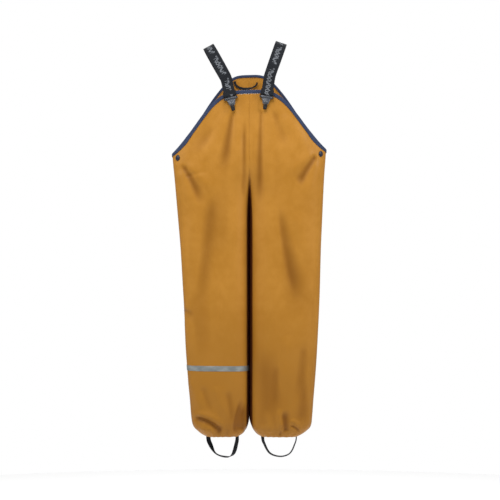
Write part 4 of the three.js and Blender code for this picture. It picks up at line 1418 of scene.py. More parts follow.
@dataclass
class Hems:
    """The turned-up inside of each gathered hem, with its elastic in the fold."""

    finishes: Finishes
    drape: Drape = field(default_factory=Drape)
    columns: int = 90
    round: float = 400.0

    def build(self) -> None:
        """Builds both turn-ups: a cloth bar under the fold and a wall behind the elastic."""
        back = -CLOTH - SEAT_GAP - HEM_ELASTIC - SEAT_GAP
        section = ((HEM_LOW, -CLOTH - 0.02), (HEM_LOW - 0.5, -CLOTH - 1.0), (HEM_LOW - 0.5, back),
                   (HEM_LOW, back - CLOTH), (1, back - CLOTH), (8, back - CLOTH), (12, back - CLOTH),
                   (HEM_TURN_UP, back - CLOTH / 2), (12, back), (8, back), (1, back), (HEM_FLOOR, back),
                   (HEM_FLOOR, -CLOTH - 0.02))
        for name, side in SIDES.items():
            rings = np.stack([self.drape.ring(side, self.columns, h, off) for h, off in section])
            run = np.linspace(0, self.round, rings.shape[1])
            coords = np.stack(np.broadcast_arrays(run[None], np.arange(len(section))[:, None] * 4.0), -1)
            shell = Shell.tubed(rings.transpose(1, 0, 2), coords.transpose(1, 0, 2), closed=True)
            piece = shell.build(f"{name}_hem_turn_up", self.finishes.cloth)
            settle(piece, "root", "coated_cloth", f"{name}_hem_casing", f"{name}_hem_elastic")


@dataclass
class Band:
    """The reflective band round the wearer's right leg."""

    finishes: Finishes
    drape: Drape = field(default_factory=Drape)
    height: float = 140.0
    tall: float = 11.0
    thick: float = 0.4
    clear: float = 0.25
    slope: float = 1.3
    round: float = 540.0
    columns: int = 110

    def build(self) -> None:
        """Builds the ring: an oblong section just off the cloth, lower towards the inseam."""
        face = self.clear + self.thick
        section = [(-0.5, self.clear), (-0.46, face), (0.46, face), (0.5, self.clear)]
        leg = SIDES["right"]
        rings = [self.drape.ring(leg, self.columns, self.height + high * self.tall, off, self.slope)
                 for high, off in section]
        grid = np.stack(rings).transpose(1, 0, 2)
        run = np.linspace(0, self.round, len(grid))[:, None]
        high = np.array([s[0] for s in section]) * self.tall
        coords = np.stack(np.broadcast_arrays(high[None], run), -1)
        piece = Shell.tubed(grid, coords, closed=True).build("reflective_band", self.finishes.band)
        settle(piece, "root", "reflective_tape", "right_leg_reflective_band")


# ---- Binding ----
@dataclass
class Binding:
    """Tape folded over the top edges and sewn through."""

    finishes: Finishes
    columns: int = 150
    tacked: float = 23.0
    back_leg: float = 4.9

    def section(self, tall: float = BINDING_TALL) -> Array:
        """The tape's section, a tall U: half ellipses over the cloth's edge, outside and inside,
        with slightly swollen legs, as (outward, up the cloth).

        Args:
            tall: height of the leg on the wearer's side.

        Returns:
            The section's points, in order round it.
        """
        t = np.linspace(0, np.pi, 13)
        middle = -CLOTH / 2
        reach = CLOTH / 2 + BINDING_OUT
        low = BINDING_OUT - BINDING_TALL
        over = np.stack([middle + reach * np.cos(t), BINDING_OUT * 1.25 * np.sin(t)], -1)
        legs = np.linspace(low, -0.5, 5)
        swell = 0.16 * np.sin(np.pi * (legs - low) / (0.5 - low))
        front = np.stack([middle + reach + swell - 0.12, legs], -1)
        front[0, 0] -= 0.28
        rear = np.linspace(BINDING_OUT - tall, -0.5, 5)
        back = np.stack([middle - reach - swell + 0.12, rear], -1)[::-1]
        back[-1, 0] += 0.28
        near = CLOTH / 2 + BINDING_PLAY * 0.5
        under = np.stack([middle - near * np.cos(t), BINDING_PLAY * np.sin(t)], -1)
        ends = [[middle - near, rear[0]]], [[middle + near, low]]
        return np.concatenate([front, over, back, ends[0], under, ends[1]])

    def frames(self, side: int, face: int) -> Path:
        """Frames on the top edge from the middle to the side seam; e runs up the cloth.

        Args:
            side: +1 for left.
            face: front or back.

        Returns:
            The frames.
        """
        u = np.linspace(1, 0, self.columns + 1)
        top = Cloth.top_of(side, face, u)
        at = Cloth.point(side, face, u, top)
        way = unit(np.gradient(at, axis=0))
        down = BINDING_TALL / np.sqrt(1 - way[:, 2] ** 2)
        e = (at - Cloth.point(side, face, u, top - down)) / BINDING_TALL
        at[0, 0] = 0
        return Path(at, Cloth.outward(side, face, u, top - down / 2), e)

    def stitching(self, paths: Sequence[Path], name: str) -> Piece:
        """A row of stitches on each side of the tape, near its lower edges.

        Args:
            paths: frames along the edge.
            name: the new piece's name.

        Returns:
            The piece.
        """
        shell = Shell()
        for path in paths:
            for sign in (1, -1):
                off = BINDING_OUT - 0.02 if sign > 0 else -CLOTH - BINDING_OUT + 0.02
                low = BINDING_OUT - BINDING_TALL + 1.3
                Stitches().add(shell, path.at + path.n * off + path.e * low, path.n * sign)
        return shell.build(name, self.finishes.navy_thread)

    def tacking(self, path: Path, name: str) -> Piece:
        """White tacking stitches between the clips: a row just under the tape, and a row on the
        wearer's side of its fold.

        Args:
            path: frames along the edge.
            name: the new piece's name.

        Returns:
            The piece.
        """
        between = np.abs(path.at[:, 0]) < self.tacked
        at, n, e = path.at[between], path.n[between], path.e[between]
        shell = Shell()
        rows = Stitches(pitch=3.7, long=2.9, radius=0.42)
        rows.add(shell, at + n * 0.05 + e * (BINDING_OUT - BINDING_TALL - 0.5), n)
        rows.add(shell, at - n * (CLOTH / 2 + 0.8) + e * 1.35, unit(e - 0.6 * n))
        return shell.build(name, self.finishes.white_thread)

    def build(self) -> None:
        """Builds the front's two halves and the back's one piece."""
        section = self.section()
        for name, side in SIDES.items():
            path = self.frames(side, FRONT)
            lines, bodies = TabFold.of(side).lines(), ("root", f"{name}_tab")
            piece = Shell.tubed(*path.sweep(section)).build(f"{name}_bib_binding", self.finishes.tape, 55)
            bend(piece, bodies, *lines, "navy_trim", f"{name}_tab_binding", "bib_binding")
            bend(self.stitching([path], f"{name}_bib_stitching"), bodies, *lines, "navy_trim")
            settle(self.tacking(path, f"{name}_tacking"), "root", "navy_trim")
        left, right = self.frames(1, BACK), self.frames(-1, BACK)
        joined = Path(*(np.concatenate([b[::-1], a[1:]]) for a, b in
                        ((left.at, right.at), (left.n, right.n), (left.e, right.e))))
        shell = Shell.tubed(*joined.sweep(self.section(self.back_leg)))
        piece = shell.build("back_edge_binding", self.finishes.tape, 55)
        settle(piece, "root", "navy_trim", "back_binding")
        settle(self.stitching([joined], "back_edge_stitching"), "root", "navy_trim")


# ---- Snaps ----
def lathe(profile: Sequence[tuple[float, float]], segments: int = 56, closed: bool = False) -> Array:
    """Carries a profile of (radius, height) round its axis: r cos t, r sin t, height.

    Args:
        profile: points from one end to the other.
        segments: facets round.
        closed: whether the profile is a ring's closed section.

    Returns:
        A grid whose rows are levels, or sections for a ring.
    """
    p = np.asarray(profile, float)
    t = np.arange(segments) * 2 * np.pi / segments
    if closed:
        return np.stack([np.outer(np.cos(t), p[:, 0]), np.outer(np.sin(t), p[:, 0]),
                         np.broadcast_to(p[:, 1], (segments, len(p)))], -1)
    return np.stack([np.outer(p[:, 0], np.cos(t)), np.outer(p[:, 0], np.sin(t)),
                     np.broadcast_to(p[:, 1:], (len(p), segments))], -1)


@dataclass
class Snaps:
    """The pair of snaps that close the sides: cap and socket on the tab, stud and base on the
    underlap behind it."""

    finishes: Finishes
    cap_radius: float = 6.0
    dip_from: float = 0.02
    dip_over: float = 0.14
    low: float = 560.0
    below: float = 8.0
    shares: tuple[float, float] = (-0.1, 0.36)

    def place(self, side: int, grid: Array) -> Array:
        """Moves local points to the snap.

        Args:
            side: +1 for left.
            grid: the points, +Z outward.

        Returns:
            The points in their place.
        """
        u = Cloth.column_at(side, FRONT, SNAP_X, SNAP_HEIGHT)
        z = Cloth.outward(side, FRONT, u, SNAP_HEIGHT)
        x = unit(np.cross((0, 0, 1), z))
        at = Cloth.point(side, FRONT, u, SNAP_HEIGHT)
        return at + grid[..., :1] * x + grid[..., 1:2] * np.cross(z, x) + grid[..., 2:] * z

    def depth(self, share: Array) -> Array:
        """How far inside the cloth the underlap lies: seated at the seam, then the snap's room."""
        return CLOTH + SEAT_GAP + (SNAP_ROOM - SEAT_GAP) * smooth((share - self.dip_from) / self.dip_over)

    def underlap(self, side: int) -> Shell:
        """The strip behind the seam: for each share round the side, points `depth` inside.

        Args:
            side: +1 for left.

        Returns:
            The strip.
        """
        share = np.linspace(*self.shares, 41)
        outer, inner = [], []
        for t in np.linspace(0, 1, 19):
            rows = ([], [])
            for face, mask in ((BACK, share < 0), (FRONT, share >= 0)):
                part = share[mask]
                u = np.abs(part)
                h = self.low + (Cloth.top_of(side, face, u) - self.below - self.low) * t
                for row, extra in zip(rows, (0.0, CLOTH)):
                    row.append(Cloth.off(side, face, u, h, -self.depth(part) - extra))
            outer.append(np.concatenate(rows[0]))
            inner.append(np.concatenate(rows[1]))
        shell = Shell()
        coords = np.stack(np.meshgrid(share * 200, np.linspace(0, 40, 19)), -1)
        shell.wall(np.stack(outer), np.stack(inner), coords)
        return shell

    def turned(self, side: int, profile: Sequence[tuple[float, float]], closed: bool) -> Shell:
        """A turned piece in its place."""
        grid = lathe(profile, closed=closed)
        return Shell.tubed(self.place(side, grid), grid[..., :2], closed)

    def build(self) -> None:
        """Builds both snaps and underlaps."""
        top = -CLOTH - SEAT_GAP - SNAP_DISH
        low = top - 2.4
        under = -CLOTH - SNAP_ROOM
        base = under - CLOTH - SEAT_GAP - SNAP_DISH
        bore, post, r = SNAP_POST + SEAT_GAP, SNAP_POST - 0.2, self.cap_radius
        cap = [(0.01, top - 0.5), (SNAP_POST, top - 0.5), (SNAP_POST, 0.3), (r - 0.3, 0.3), (r, 0.42),
               (r, 0.75), (r - 0.12, 0.95), (r - 0.5, 1.08), (r - 0.9, 1.05), (r * 0.8, 1.2),
               (r * 0.6, 1.75), (r * 0.4, 2.05), (r * 0.2, 2.18), (0.01, 2.22)]
        socket = [(bore, top), (bore, top - 0.6), (3.2, top - 0.6), (3.2, low), (3.4, low - 0.1), (4.6, low),
                  (5, low + 0.35), (5, top - 0.15), (4.85, top)]
        stud = [(post + 0.3, under + 0.3), (4.8, under + 0.3), (5, under + 0.5), (5, under + 0.9),
                (4.8, under + 1), (2.7, under + 1.1), (2.55, under + 1.5), (2.6, top - 1.5), (2.4, top - 1.1),
                (2.1, top - 1), (post + 0.3, top - 1)]
        foot = [(0.01, base - 0.9), (3.8, base - 0.85), (4.4, base - 0.6), (4.6, base - 0.3), (4.5, base),
                (post, base), (post, top - 1.6), (0.01, top - 1.6)]
        lacquer, metal = self.finishes.lacquer, self.finishes.metal
        for name, side in SIDES.items():
            for part, profile, closed, finish, body, slot in (
                ("cap", cap, False, lacquer, f"{name}_tab", "navy_trim"),
                ("socket", socket, True, metal, f"{name}_tab", "gunmetal"),
                ("stud", stud, True, metal, "root", "gunmetal"),
                ("base", foot, False, lacquer, "root", "navy_trim"),
            ):
                piece = self.turned(side, profile, closed).build(f"{name}_{part}", finish, 35)
                settle(piece, body, slot, f"{name}_snap_{part}")
            strip = self.underlap(side).build(f"{name}_underlap", self.finishes.cloth)
            settle(strip, "root", "coated_cloth", f"{name}_side_underlap")


# ---- Clips ----
@dataclass(frozen=True)
class ClipPlace:
    """A clip's frame at its bar: across to the wearer's left, inward, and up the clip."""

    at: Array
    across: Array
    inward: Array
    up: Array

    @classmethod
    def of(cls, side: int) -> "ClipPlace":
        """On the cloth below the top edge, square to it and leaning with the brace.

        Args:
            side: +1 for left.

        Returns:
            The frame.
        """
        size = BRACES[side]
        h = Cloth.edge_height(FRONT, size.x) + BINDING_OUT - CLIP_DROP
        u = Cloth.column_at(side, FRONT, size.x, h)
        out = Cloth.outward(side, FRONT, u, h)
        lean = math.radians(size.clip_tilt) * side
        up = np.array([math.sin(lean), 0, math.cos(lean)])
        up = unit(up - out * up.dot(out))
        return cls(Cloth.point(side, FRONT, u, h), unit(np.cross(-out, up)), -out, up)

    def world(self, local: Array) -> Array:
        """Local points (across, inward, up) in the garment's frame."""
        local = np.asarray(local, float)
        x, y, z = local[..., :1], local[..., 1:2], local[..., 2:]
        return self.at + x * self.across + y * self.inward + z * self.up


STRAP_NEAR = -(BINDING_OUT + SEAT_GAP)
BAR_Y = STRAP_NEAR - BRACE_THICK - SEAT_GAP - BAR_RADIUS


@dataclass
class Clips:
    """The clips that hold the bib: frame, lever with its black tip, pin and grip pad."""

    finishes: Finishes
    pin_drop: float = 6.2
    hub_half: float = 12.1
    hub_radius: float = 2.6
    lever_wall: float = 1.2
    metal_long: float = 21.0
    tip_long: float = 33.0
    shoulder: float = 9.2
    waist: float = 5.6
    above_pin: float = 2.4
    hollow: float = 0.28
    rib: float = 0.16
    rib_pitch: float = 2.3
    frame_rise: float = 0.35
    crown: float = 0.7
    cam_depths: tuple[float, ...] = (0.0, 2.4, 2.9, 3.05)
    cam_shrink: tuple[float, ...] = (1.0, 1.0, 0.9, 0.7)
    bevel: float = 0.28

    def softened(self, node: str, name: str, finish: Material, bevel: float) -> Piece:
        """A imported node's shape with its edges rounded.

        Args:
            node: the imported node.
            name: the new piece's name.
            finish: its material.
            bevel: radius of the rounded edges, in millimetres.

        Returns:
            The new object.
        """
        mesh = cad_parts[node].data.copy()
        mesh.name = name
        build = bmesh.new()
        build.from_mesh(mesh)
        bmesh.ops.remove_doubles(build, verts=build.verts, dist=2e-6)
        bmesh.ops.dissolve_limit(build, angle_limit=math.radians(1.0), verts=build.verts, edges=build.edges)
        build.to_mesh(mesh)
        build.free()
        mesh.materials.clear()
        mesh.materials.append(finish)
        mesh.polygons.foreach_set("use_smooth", np.ones(len(mesh.polygons), bool))
        mesh.set_sharp_from_angle(angle=math.radians(40))
        piece = bpy.data.objects.new(name, mesh)
        bpy.context.scene.collection.objects.link(piece)
        modifier = piece.modifiers.new("rounded edges", "BEVEL")
        modifier.width, modifier.segments = bevel * MM, 3
        modifier.limit_method, modifier.angle_limit = "ANGLE", math.radians(32)
        modifier.use_clamp_overlap, modifier.harden_normals = True, True
        return piece

    def lever(self, place: ClipPlace) -> Shell:
        """The lever: a crowned plate that narrows from the pin to its waist, hollowed a little
        below the pin so that it clears the brace when it is open, with low ribs, and its hub.

        Front depth is the hub's radius less a hollow exp(-((z + pin + 2.6) / 2.4)^2) and less
        0.7 (x/w)^2 towards the sides; half width goes from the hub's to the waist's by a smooth step.

        Args:
            place: the clip's frame.

        Returns:
            The lever.
        """
        s = np.linspace(0, 1, 72)[:, None]
        t = np.linspace(-1, 1, 41)[None, :]
        z = -self.pin_drop + self.above_pin - s * (self.metal_long - self.pin_drop + self.above_pin)
        taper = np.clip((-z - self.pin_drop - 2.6) / 12.2, 0, 1)
        neck = smooth((-z - self.pin_drop - 1.5) / 2.2)
        half = self.hub_half + (self.shoulder - self.hub_half) * neck + (self.waist - self.shoulder) * taper
        corner = np.sqrt(np.clip(1 - (1 - np.minimum(1, s * 26)) ** 2, 0, 1)) * 0.6 + half - 0.6
        hollow = self.hollow * np.exp(-(((z + self.pin_drop + 2.6) / 2.4) ** 2))
        ribs = self.rib * np.cos((z + 10.4) * 2 * np.pi / self.rib_pitch)
        ribs = ribs * past(-z, 11.4, 1.2) * past(z, -17.4, 1.2)
        inner = smooth((0.8 - np.abs(t)) / 0.16)
        frame_line = self.frame_rise * np.exp(-(((np.abs(t) - 0.86) / 0.07) ** 2)) * smooth(-z - 11)
        front = BAR_Y - self.hub_radius + hollow - ribs * inner - frame_line + self.crown * t**2
        x = t * corner
        zz = np.broadcast_to(z, x.shape)
        outer = np.stack([x, front, zz], -1)
        behind = BAR_Y - self.hub_radius + self.lever_wall + 0.5 * t**2
        inner_side = np.stack([x * 0.97, np.broadcast_to(behind, x.shape), zz], -1)
        shell = Shell()
        shell.wall(place.world(outer), place.world(inner_side), np.stack([x, zz], -1))
        hub = lathe([(0.01, -self.hub_half), (self.hub_radius - 0.4, -self.hub_half),
                     (self.hub_radius, -self.hub_half + 0.4), (self.hub_radius, self.hub_half - 0.4),
                     (self.hub_radius - 0.4, self.hub_half), (0.01, self.hub_half)], 36)
        turned = np.stack([hub[..., 2], BAR_Y + hub[..., 0], -self.pin_drop + hub[..., 1]], -1)
        shell.tube(place.world(turned), turned[..., ::2])
        cam = rounded_bar(2 * (self.hub_half - 2), 2.8, 0.5)
        depth = np.array(self.cam_depths)[:, None, None]
        shrink = np.array(self.cam_shrink)[:, None, None]
        nose = np.concatenate([cam[None, :, 1:] * (0.9 + 0.1 * shrink), BAR_Y + depth + 0 * cam[None, :, :1],
                               -self.pin_drop + cam[None, :, :1] * shrink], -1)
        shell.tube(place.world(nose), nose[..., ::2])
        tongue = rounded_bar(4.0, self.lever_wall, 0.3)
        run = np.array([-self.metal_long + 0.6, -self.metal_long - 2, -self.tip_long + 1.5])[:, None, None]
        middle = BAR_Y - self.hub_radius + self.lever_wall / 2
        stem = np.concatenate([tongue[None, :, 1:] + 0 * run, middle + tongue[None, :, :1] + 0 * run,
                               run + 0 * tongue[None, :, :1]], -1)
        shell.tube(place.world(stem), stem[..., ::2])
        return shell

    def tip(self, place: ClipPlace) -> Shell:
        """The black grip: a rounded oblong section |x/a|^3 + |y/b|^3 = 1 carried down the tongue,
        narrowing to its end, with four grip ridges.

        Args:
            place: the clip's frame.

        Returns:
            The grip.
        """
        s = np.linspace(0, 1, 64)[:, None]
        angle = np.linspace(0, 2 * np.pi, 40, endpoint=False)[None, :]
        ends = (1 - (2 * s - 1) ** 12) ** 0.5
        a = (4.3 - 0.9 * s**2) * ends
        ridges = 0.22 * np.cos(s * 2 * np.pi * 6.5) * past(s, 0.2, 0.1) * past(-s, -0.85, 0.1)
        b = (2.0 + ridges - 0.25 * s) * ends
        c, q = np.cos(angle), np.sin(angle)
        r = (np.abs(c) ** 3 + np.abs(q) ** 3) ** (-1 / 3)
        middle = BAR_Y - self.hub_radius + self.lever_wall / 2
        z = -self.metal_long - 0.1 - s * (self.tip_long - self.metal_long - 0.1)
        grid = np.stack([a * c * r, middle + b * q * r, np.broadcast_to(z, (64, 40))], -1)
        return Shell.tubed(place.world(grid), grid[..., ::2])

    def pin(self, place: ClipPlace) -> Shell:
        """The hinge pin with its two domed heads.

        Args:
            place: the clip's frame.

        Returns:
            The pin.
        """
        reach = self.hub_half + 2.1
        half = [(1.0, 0.0), (1.0, reach - 0.1), (1.75, reach), (1.7, reach + 0.35), (1.2, reach + 0.65),
                (0.01, reach + 0.8)]
        turned = lathe([(r, -z) for r, z in half[:0:-1]] + half, 28)
        grid = np.stack([turned[..., 2], BAR_Y + turned[..., 0], -self.pin_drop + turned[..., 1]], -1)
        return Shell.tubed(place.world(grid), grid[..., ::2])

    def build(self) -> None:
        """Builds both clips."""
        metal, dark, plastic = self.finishes.metal, self.finishes.dark_metal, self.finishes.plastic
        for name, side in SIDES.items():
            place = ClipPlace.of(side)
            clip, lever = f"{name}_clip", f"{name}_clip_lever"
            settle(self.softened(f"{name}_clip_frame", f"{name}_frame", dark, self.bevel), clip, "gunmetal",
                   f"{name}_clip_frame")
            pad = self.softened(f"{name}_clip_grip_pad", f"{name}_grip_pad", plastic, self.bevel * 0.7)
            settle(pad, clip, "black_plastic", f"{name}_clip_grip_pad")
            settle(self.pin(place).build(f"{name}_pin", metal), clip, "gunmetal", f"{name}_clip_pin")
            settle(self.lever(place).build(f"{name}_lever", metal, 50), lever, "gunmetal",
                   f"{name}_clip_lever")
            settle(self.tip(place).build(f"{name}_lever_tip", plastic, 50), lever, "black_plastic",
                   f"{name}_clip_lever_tip")


# ---- Braces ----
@dataclass
class Braces:
    """The woven elastic braces: doubled round the clip's bar, up over the shoulder and down to
    where each is sewn on the back."""

    finishes: Finishes
    doubled: float = 27.0
    straight: float = 30.0
    bend_over: float = 16.0
    flat: float = 10.0
    sewn: float = 45.0
    arc_power: float = 2.2
    # where each brace's woven pattern starts, along it
    woven_from: dict[int, float] = field(default_factory=lambda: {1: 11.0, -1: 31.0})

    def across_at(self, side: int, angle: Number) -> Array:
        """Width direction of a brace that leans outward by an angle."""
        angle = np.asarray(angle, float)
        return np.stack([np.cos(angle), 0 * angle, -side * np.sin(angle)], -1)

    def arc(self, t: Array) -> tuple[Array, Array]:
        """A rounded quarter: |y|^p + |z|^p = 1 at angle t."""
        c, s = np.cos(t), np.sin(t)
        r = (np.abs(c) ** self.arc_power + s**self.arc_power) ** (-1 / self.arc_power)
        return c * r, s * r

    def front(self, side: int) -> tuple[Array, Array, Array, float]:
        """Knots of the front leg from its doubled end to the shoulder.

        Args:
            side: +1 for left.

        Returns:
            Points, width directions, the foot where it leaves the clip, and the top's height.
        """
        size, place = BRACES[side], ClipPlace.of(side)
        mid = STRAP_NEAR - BRACE_THICK / 2
        wrap = BAR_RADIUS + SEAT_GAP + BRACE_THICK / 2
        far, close = BAR_Y - wrap, mid - BRACE_THICK - SEAT_GAP
        turn = np.linspace(0, np.pi, 9)
        local = [(close, self.doubled), (close, self.doubled * 0.75),
                 ((close + far) / 2, self.doubled * 0.42)]
        local += list(zip(BAR_Y - wrap * np.cos(turn), -wrap * np.sin(turn)))
        local += [(mid, self.straight * 0.5), (mid, self.straight)]
        low = place.world(np.array([(0, y, z) for y, z in local]))
        foot = low[-1]
        top = side * SHOULDER_SKEW + BRACE_THICK / 2 * math.cos(math.radians(size.tilt))
        rise = top - foot[2]
        y, z = self.arc(np.linspace(0, np.pi / 2, 14)[1:-1])
        up = rise * z
        more = size.tilt - size.clip_tilt
        tilt_at = lambda q: np.radians(size.clip_tilt + more * smooth(q / self.bend_over))
        fine = np.linspace(0, rise, 600)
        run = np.r_[0, np.cumsum(np.tan(tilt_at((fine[1:] + fine[:-1]) / 2)) * np.diff(fine))]
        x = foot[0] + side * np.interp(up, fine, run)
        leg = np.stack([x, foot[1] * y, foot[2] + up], -1)
        top_x = foot[0] + side * run[-1]
        over = np.array([[top_x, -self.flat / 2, top], [top_x, -self.flat / 4, top], [top_x, 0, top]])
        points = np.concatenate([low, leg, over])
        across = np.concatenate([
            np.tile(place.across, (len(low), 1)),
            self.across_at(side, tilt_at(up)),
            np.tile(self.across_at(side, math.radians(size.tilt)), (3, 1)),
        ])
        return points, across, foot, top

    def rear(self, side: int, top_x: float, top: float) -> tuple[Array, Array]:
        """Knots of the back leg from the shoulder to its sewn end.

        Args:
            side: +1 for left.
            top_x: where it crosses the shoulder.
            top: height there.

        Returns:
            Points, and width directions.
        """
        size = BRACES[side]
        lean = math.tan(math.radians(size.back_tilt))
        x_at = lambda z: top_x - side * lean * (top - z)
        edge_x = abs(x_at(Cloth.edge_height(BACK, size.x) - SHOULDER_HEIGHT))
        edge = Cloth.edge_height(BACK, edge_x)

        def on_back(h: float, off: float) -> Array:
            """A point of the strip's middle at height h, `off` outside the back."""
            x = x_at(h - SHOULDER_HEIGHT)
            u = Cloth.column_at(side, BACK, abs(x), h)
            return np.array([x, Cloth.off(side, BACK, u, h, off)[1], h - SHOULDER_HEIGHT])

        over = BINDING_OUT + SEAT_GAP + BRACE_THICK / 2 + 0.2
        seated = SEAT_GAP + BRACE_THICK / 2 + 0.3
        landing = on_back(edge + 3, over)
        y, z = self.arc(np.linspace(np.pi / 2, 0, 14)[1:])
        height = landing[2] + (top - landing[2]) * z
        leg = np.stack([x_at(height), landing[1] * y, height], -1)
        flat = np.array([[top_x, 0, top], [top_x, self.flat / 4, top], [top_x, self.flat / 2, top]])
        low = np.array([on_back(edge - BINDING_TALL, over), on_back(edge - BINDING_TALL - 6, seated),
                        on_back(edge - self.sewn * 0.7, seated), on_back(edge - self.sewn, seated)])
        across = np.tile(self.across_at(side, math.radians(size.back_tilt)), (len(leg) + 7, 1))
        across[:3] = self.across_at(side, math.radians(size.tilt))
        return np.concatenate([flat, leg, low]), across

    def strip(self, points: Array, across: Array, count: int) -> Path:
        """An even path through knots, its width direction carried along with them."""
        even = spline(np.concatenate([points, across], -1), count)
        return Path.of(even[:, :3], even[:, 3:])

    def box(self, path: Path, start: float, long: float, sign: float) -> tuple[Array, Array]:
        """An oblong of stitches on one face of a strip, with its diagonals.

        Args:
            path: the strip.
            start: distance along it of the oblong's near side.
            long: its length.
            sign: +1 for the face that n points to.

        Returns:
            Points along the stitching and the outward direction at each.
        """
        half = BRACE_WIDE / 2 - 2.2
        corners = np.array([(-half, 0), (half, 0), (half, long), (-half, long), (-half, 0), (half, long),
                            (half, 0), (-half, long)])
        t = np.linspace(0, len(corners) - 1, 400)
        b = np.interp(t, np.arange(len(corners)), corners[:, 0])
        run = start + np.interp(t, np.arange(len(corners)), corners[:, 1])
        pick = lambda grid: np.stack([np.interp(run, path.length(), grid[:, k]) for k in range(3)], -1)
        n = unit(pick(path.n)) * sign
        return pick(path.at) + n * (BRACE_THICK / 2 - 0.05) + unit(pick(path.e)) * b[:, None], n

    def build(self) -> None:
        """Builds both braces, each front leg stretching from the shoulder to its clip."""
        section = rounded_bar(BRACE_WIDE, BRACE_THICK, 0.5)
        for name, side in SIDES.items():
            points, across, foot, top = self.front(side)
            path = self.strip(points, across, 260)
            grid, coords = path.sweep(section)
            woven_from = self.woven_from[side]
            shell = Shell.tubed(grid, coords + np.array([0, woven_from]))
            piece = shell.build(f"{name}_brace_front", self.finishes.brace, 60)
            bend(piece, ("root", f"{name}_clip"), points[-1], foot, "black_elastic", f"{name}_brace")
            rear_points, rear_across = self.rear(side, points[-1][0], top)
            rear = self.strip(rear_points, rear_across, 220)
            grid, coords = rear.sweep(section)
            shell = Shell.tubed(grid, coords + np.array([0, path.length()[-1] + woven_from]))
            piece = shell.build(f"{name}_brace_back", self.finishes.brace, 60)
            settle(piece, "root", "black_elastic", f"{name}_brace")
            thread = Shell()
            start = rear.length()[-1] - self.sewn + 12
            sign = 1.0 if rear.n[-1, 1] > 0 else -1.0
            Stitches(pitch=2.6, long=2.0).add(thread, *self.box(rear, start, self.sewn - 16, sign))
            sewing = thread.build(f"{name}_brace_stitching", self.finishes.black_thread)
            settle(sewing, "root", "black_elastic")


# ---- Foot straps and hanger loop ----
@dataclass(frozen=True)
class FootStrapSize:
    """A foot strap's ends and lowest point in x, its height there, and its turn at shares of
    its length, in degrees: at 0 its width lies fore and aft."""

    outer: float
    inner: float
    low_x: float
    low: float
    turns: tuple[tuple[float, float], ...]


@dataclass
class FootStraps:
    """Elastic straps that pass under the boots."""

    finishes: Finishes
    wide: float = 10.0
    thick: float = 1.3
    sizes: dict[int, FootStrapSize] = field(default_factory=lambda: {
        1: FootStrapSize(98.7, 28.3, 66.0, -47.0, ((0, 8), (0.2, 14), (0.5, 18), (0.8, 26), (1, 40))),
        -1: FootStrapSize(-85.7, -25.3, -46.0, -48.0,
                          ((0, 62), (0.18, 54), (0.34, 8), (0.56, 6), (0.7, -46), (0.85, -48), (1, -34))),
    })

    def path(self, size: FootStrapSize) -> Path:
        """A U from the outer end to the inner one, turned about its way by the size's turns.

        Args:
            size: the strap's ends, low point and turns.

        Returns:
            The frames.
        """
        end = HEM_LOW + 3.2 - SHOULDER_HEIGHT
        axis = HEM_LOW - 5 - SHOULDER_HEIGHT
        low = size.low - SHOULDER_HEIGHT
        lean = lambda x, k: x + k * (size.low_x - x)
        knots = [(size.outer, 0, end), (size.outer, 0, axis), (lean(size.outer, 0.06), 0, axis - 9),
                 (lean(size.outer, 0.4), 0, low + 7), (size.low_x, 0, low),
                 (lean(size.inner, 0.4), 0, low + 7), (lean(size.inner, 0.06), 0, axis - 9),
                 (size.inner, 0, axis), (size.inner, 0, end)]
        at = spline(knots, 170)
        way = unit(np.gradient(at, axis=0))
        shares = np.array(size.turns, float)
        turn = np.radians(along(shares, np.linspace(0, 1, len(at))))[:, None]
        fore = np.array([0.0, 1.0, 0.0])
        side_on = np.cross(way, fore)
        return Path.of(at, fore * np.cos(turn) + side_on * np.sin(turn), way)

    def build(self) -> None:
        """Builds both straps."""
        section = rounded_bar(self.wide, self.thick, 0.45)
        for name, side in SIDES.items():
            shell = Shell.tubed(*self.path(self.sizes[side]).sweep(section))
            piece = shell.build(f"{name}_strap", self.finishes.webbing, 60)
            settle(piece, f"{name}_foot_strap", "black_elastic", f"{name}_foot_strap")


@dataclass
class HangerLoop:
    """The loop inside the back's top edge."""

    finishes: Finishes
    start: float = -31.0
    stop: float = 17.0
    end_height: float = 745.0
    low: float = 729.0
    wide: float = 5.0
    thick: float = 1.2

    def build(self) -> None:
        """Builds the loop: half an oval hanging inside the back, edge-on towards its far end."""
        t = np.linspace(0, np.pi, 60)
        x = (self.start + self.stop) / 2 - (self.stop - self.start) / 2 * np.cos(t)
        h = self.end_height - (self.end_height - self.low) * np.sin(t) ** 0.8
        inside = CLOTH + BINDING_OUT + SEAT_GAP + self.thick / 2
        inside = inside + 0.6 * np.sin(t) + 1.5 * smooth((t - 1.2) / 0.8)
        points = []
        for xi, hi, off in zip(x, h, inside):
            side = -1 if xi < 0 else 1
            u = Cloth.column_at(side, BACK, abs(xi), hi)
            points.append((xi, Cloth.off(side, BACK, u, hi, -off)[1], hi - SHOULDER_HEIGHT))
        turn = np.radians(52) * smooth((t - 1.3) / 0.9)
        across = np.stack([np.cos(t) * np.cos(turn), np.sin(turn), np.sin(t) * np.cos(turn)], -1)
        even = spline(np.concatenate([np.array(points)[::3], across[::3]], -1), 90)
        path = Path.of(even[:, :3], even[:, 3:])
        shell = Shell.tubed(*path.sweep(rounded_bar(self.wide, self.thick, 0.4)))
        piece = shell.build("peg_loop", self.finishes.webbing, 60)
        settle(piece, "hanger_loop", "black_elastic", "hanger_loop")


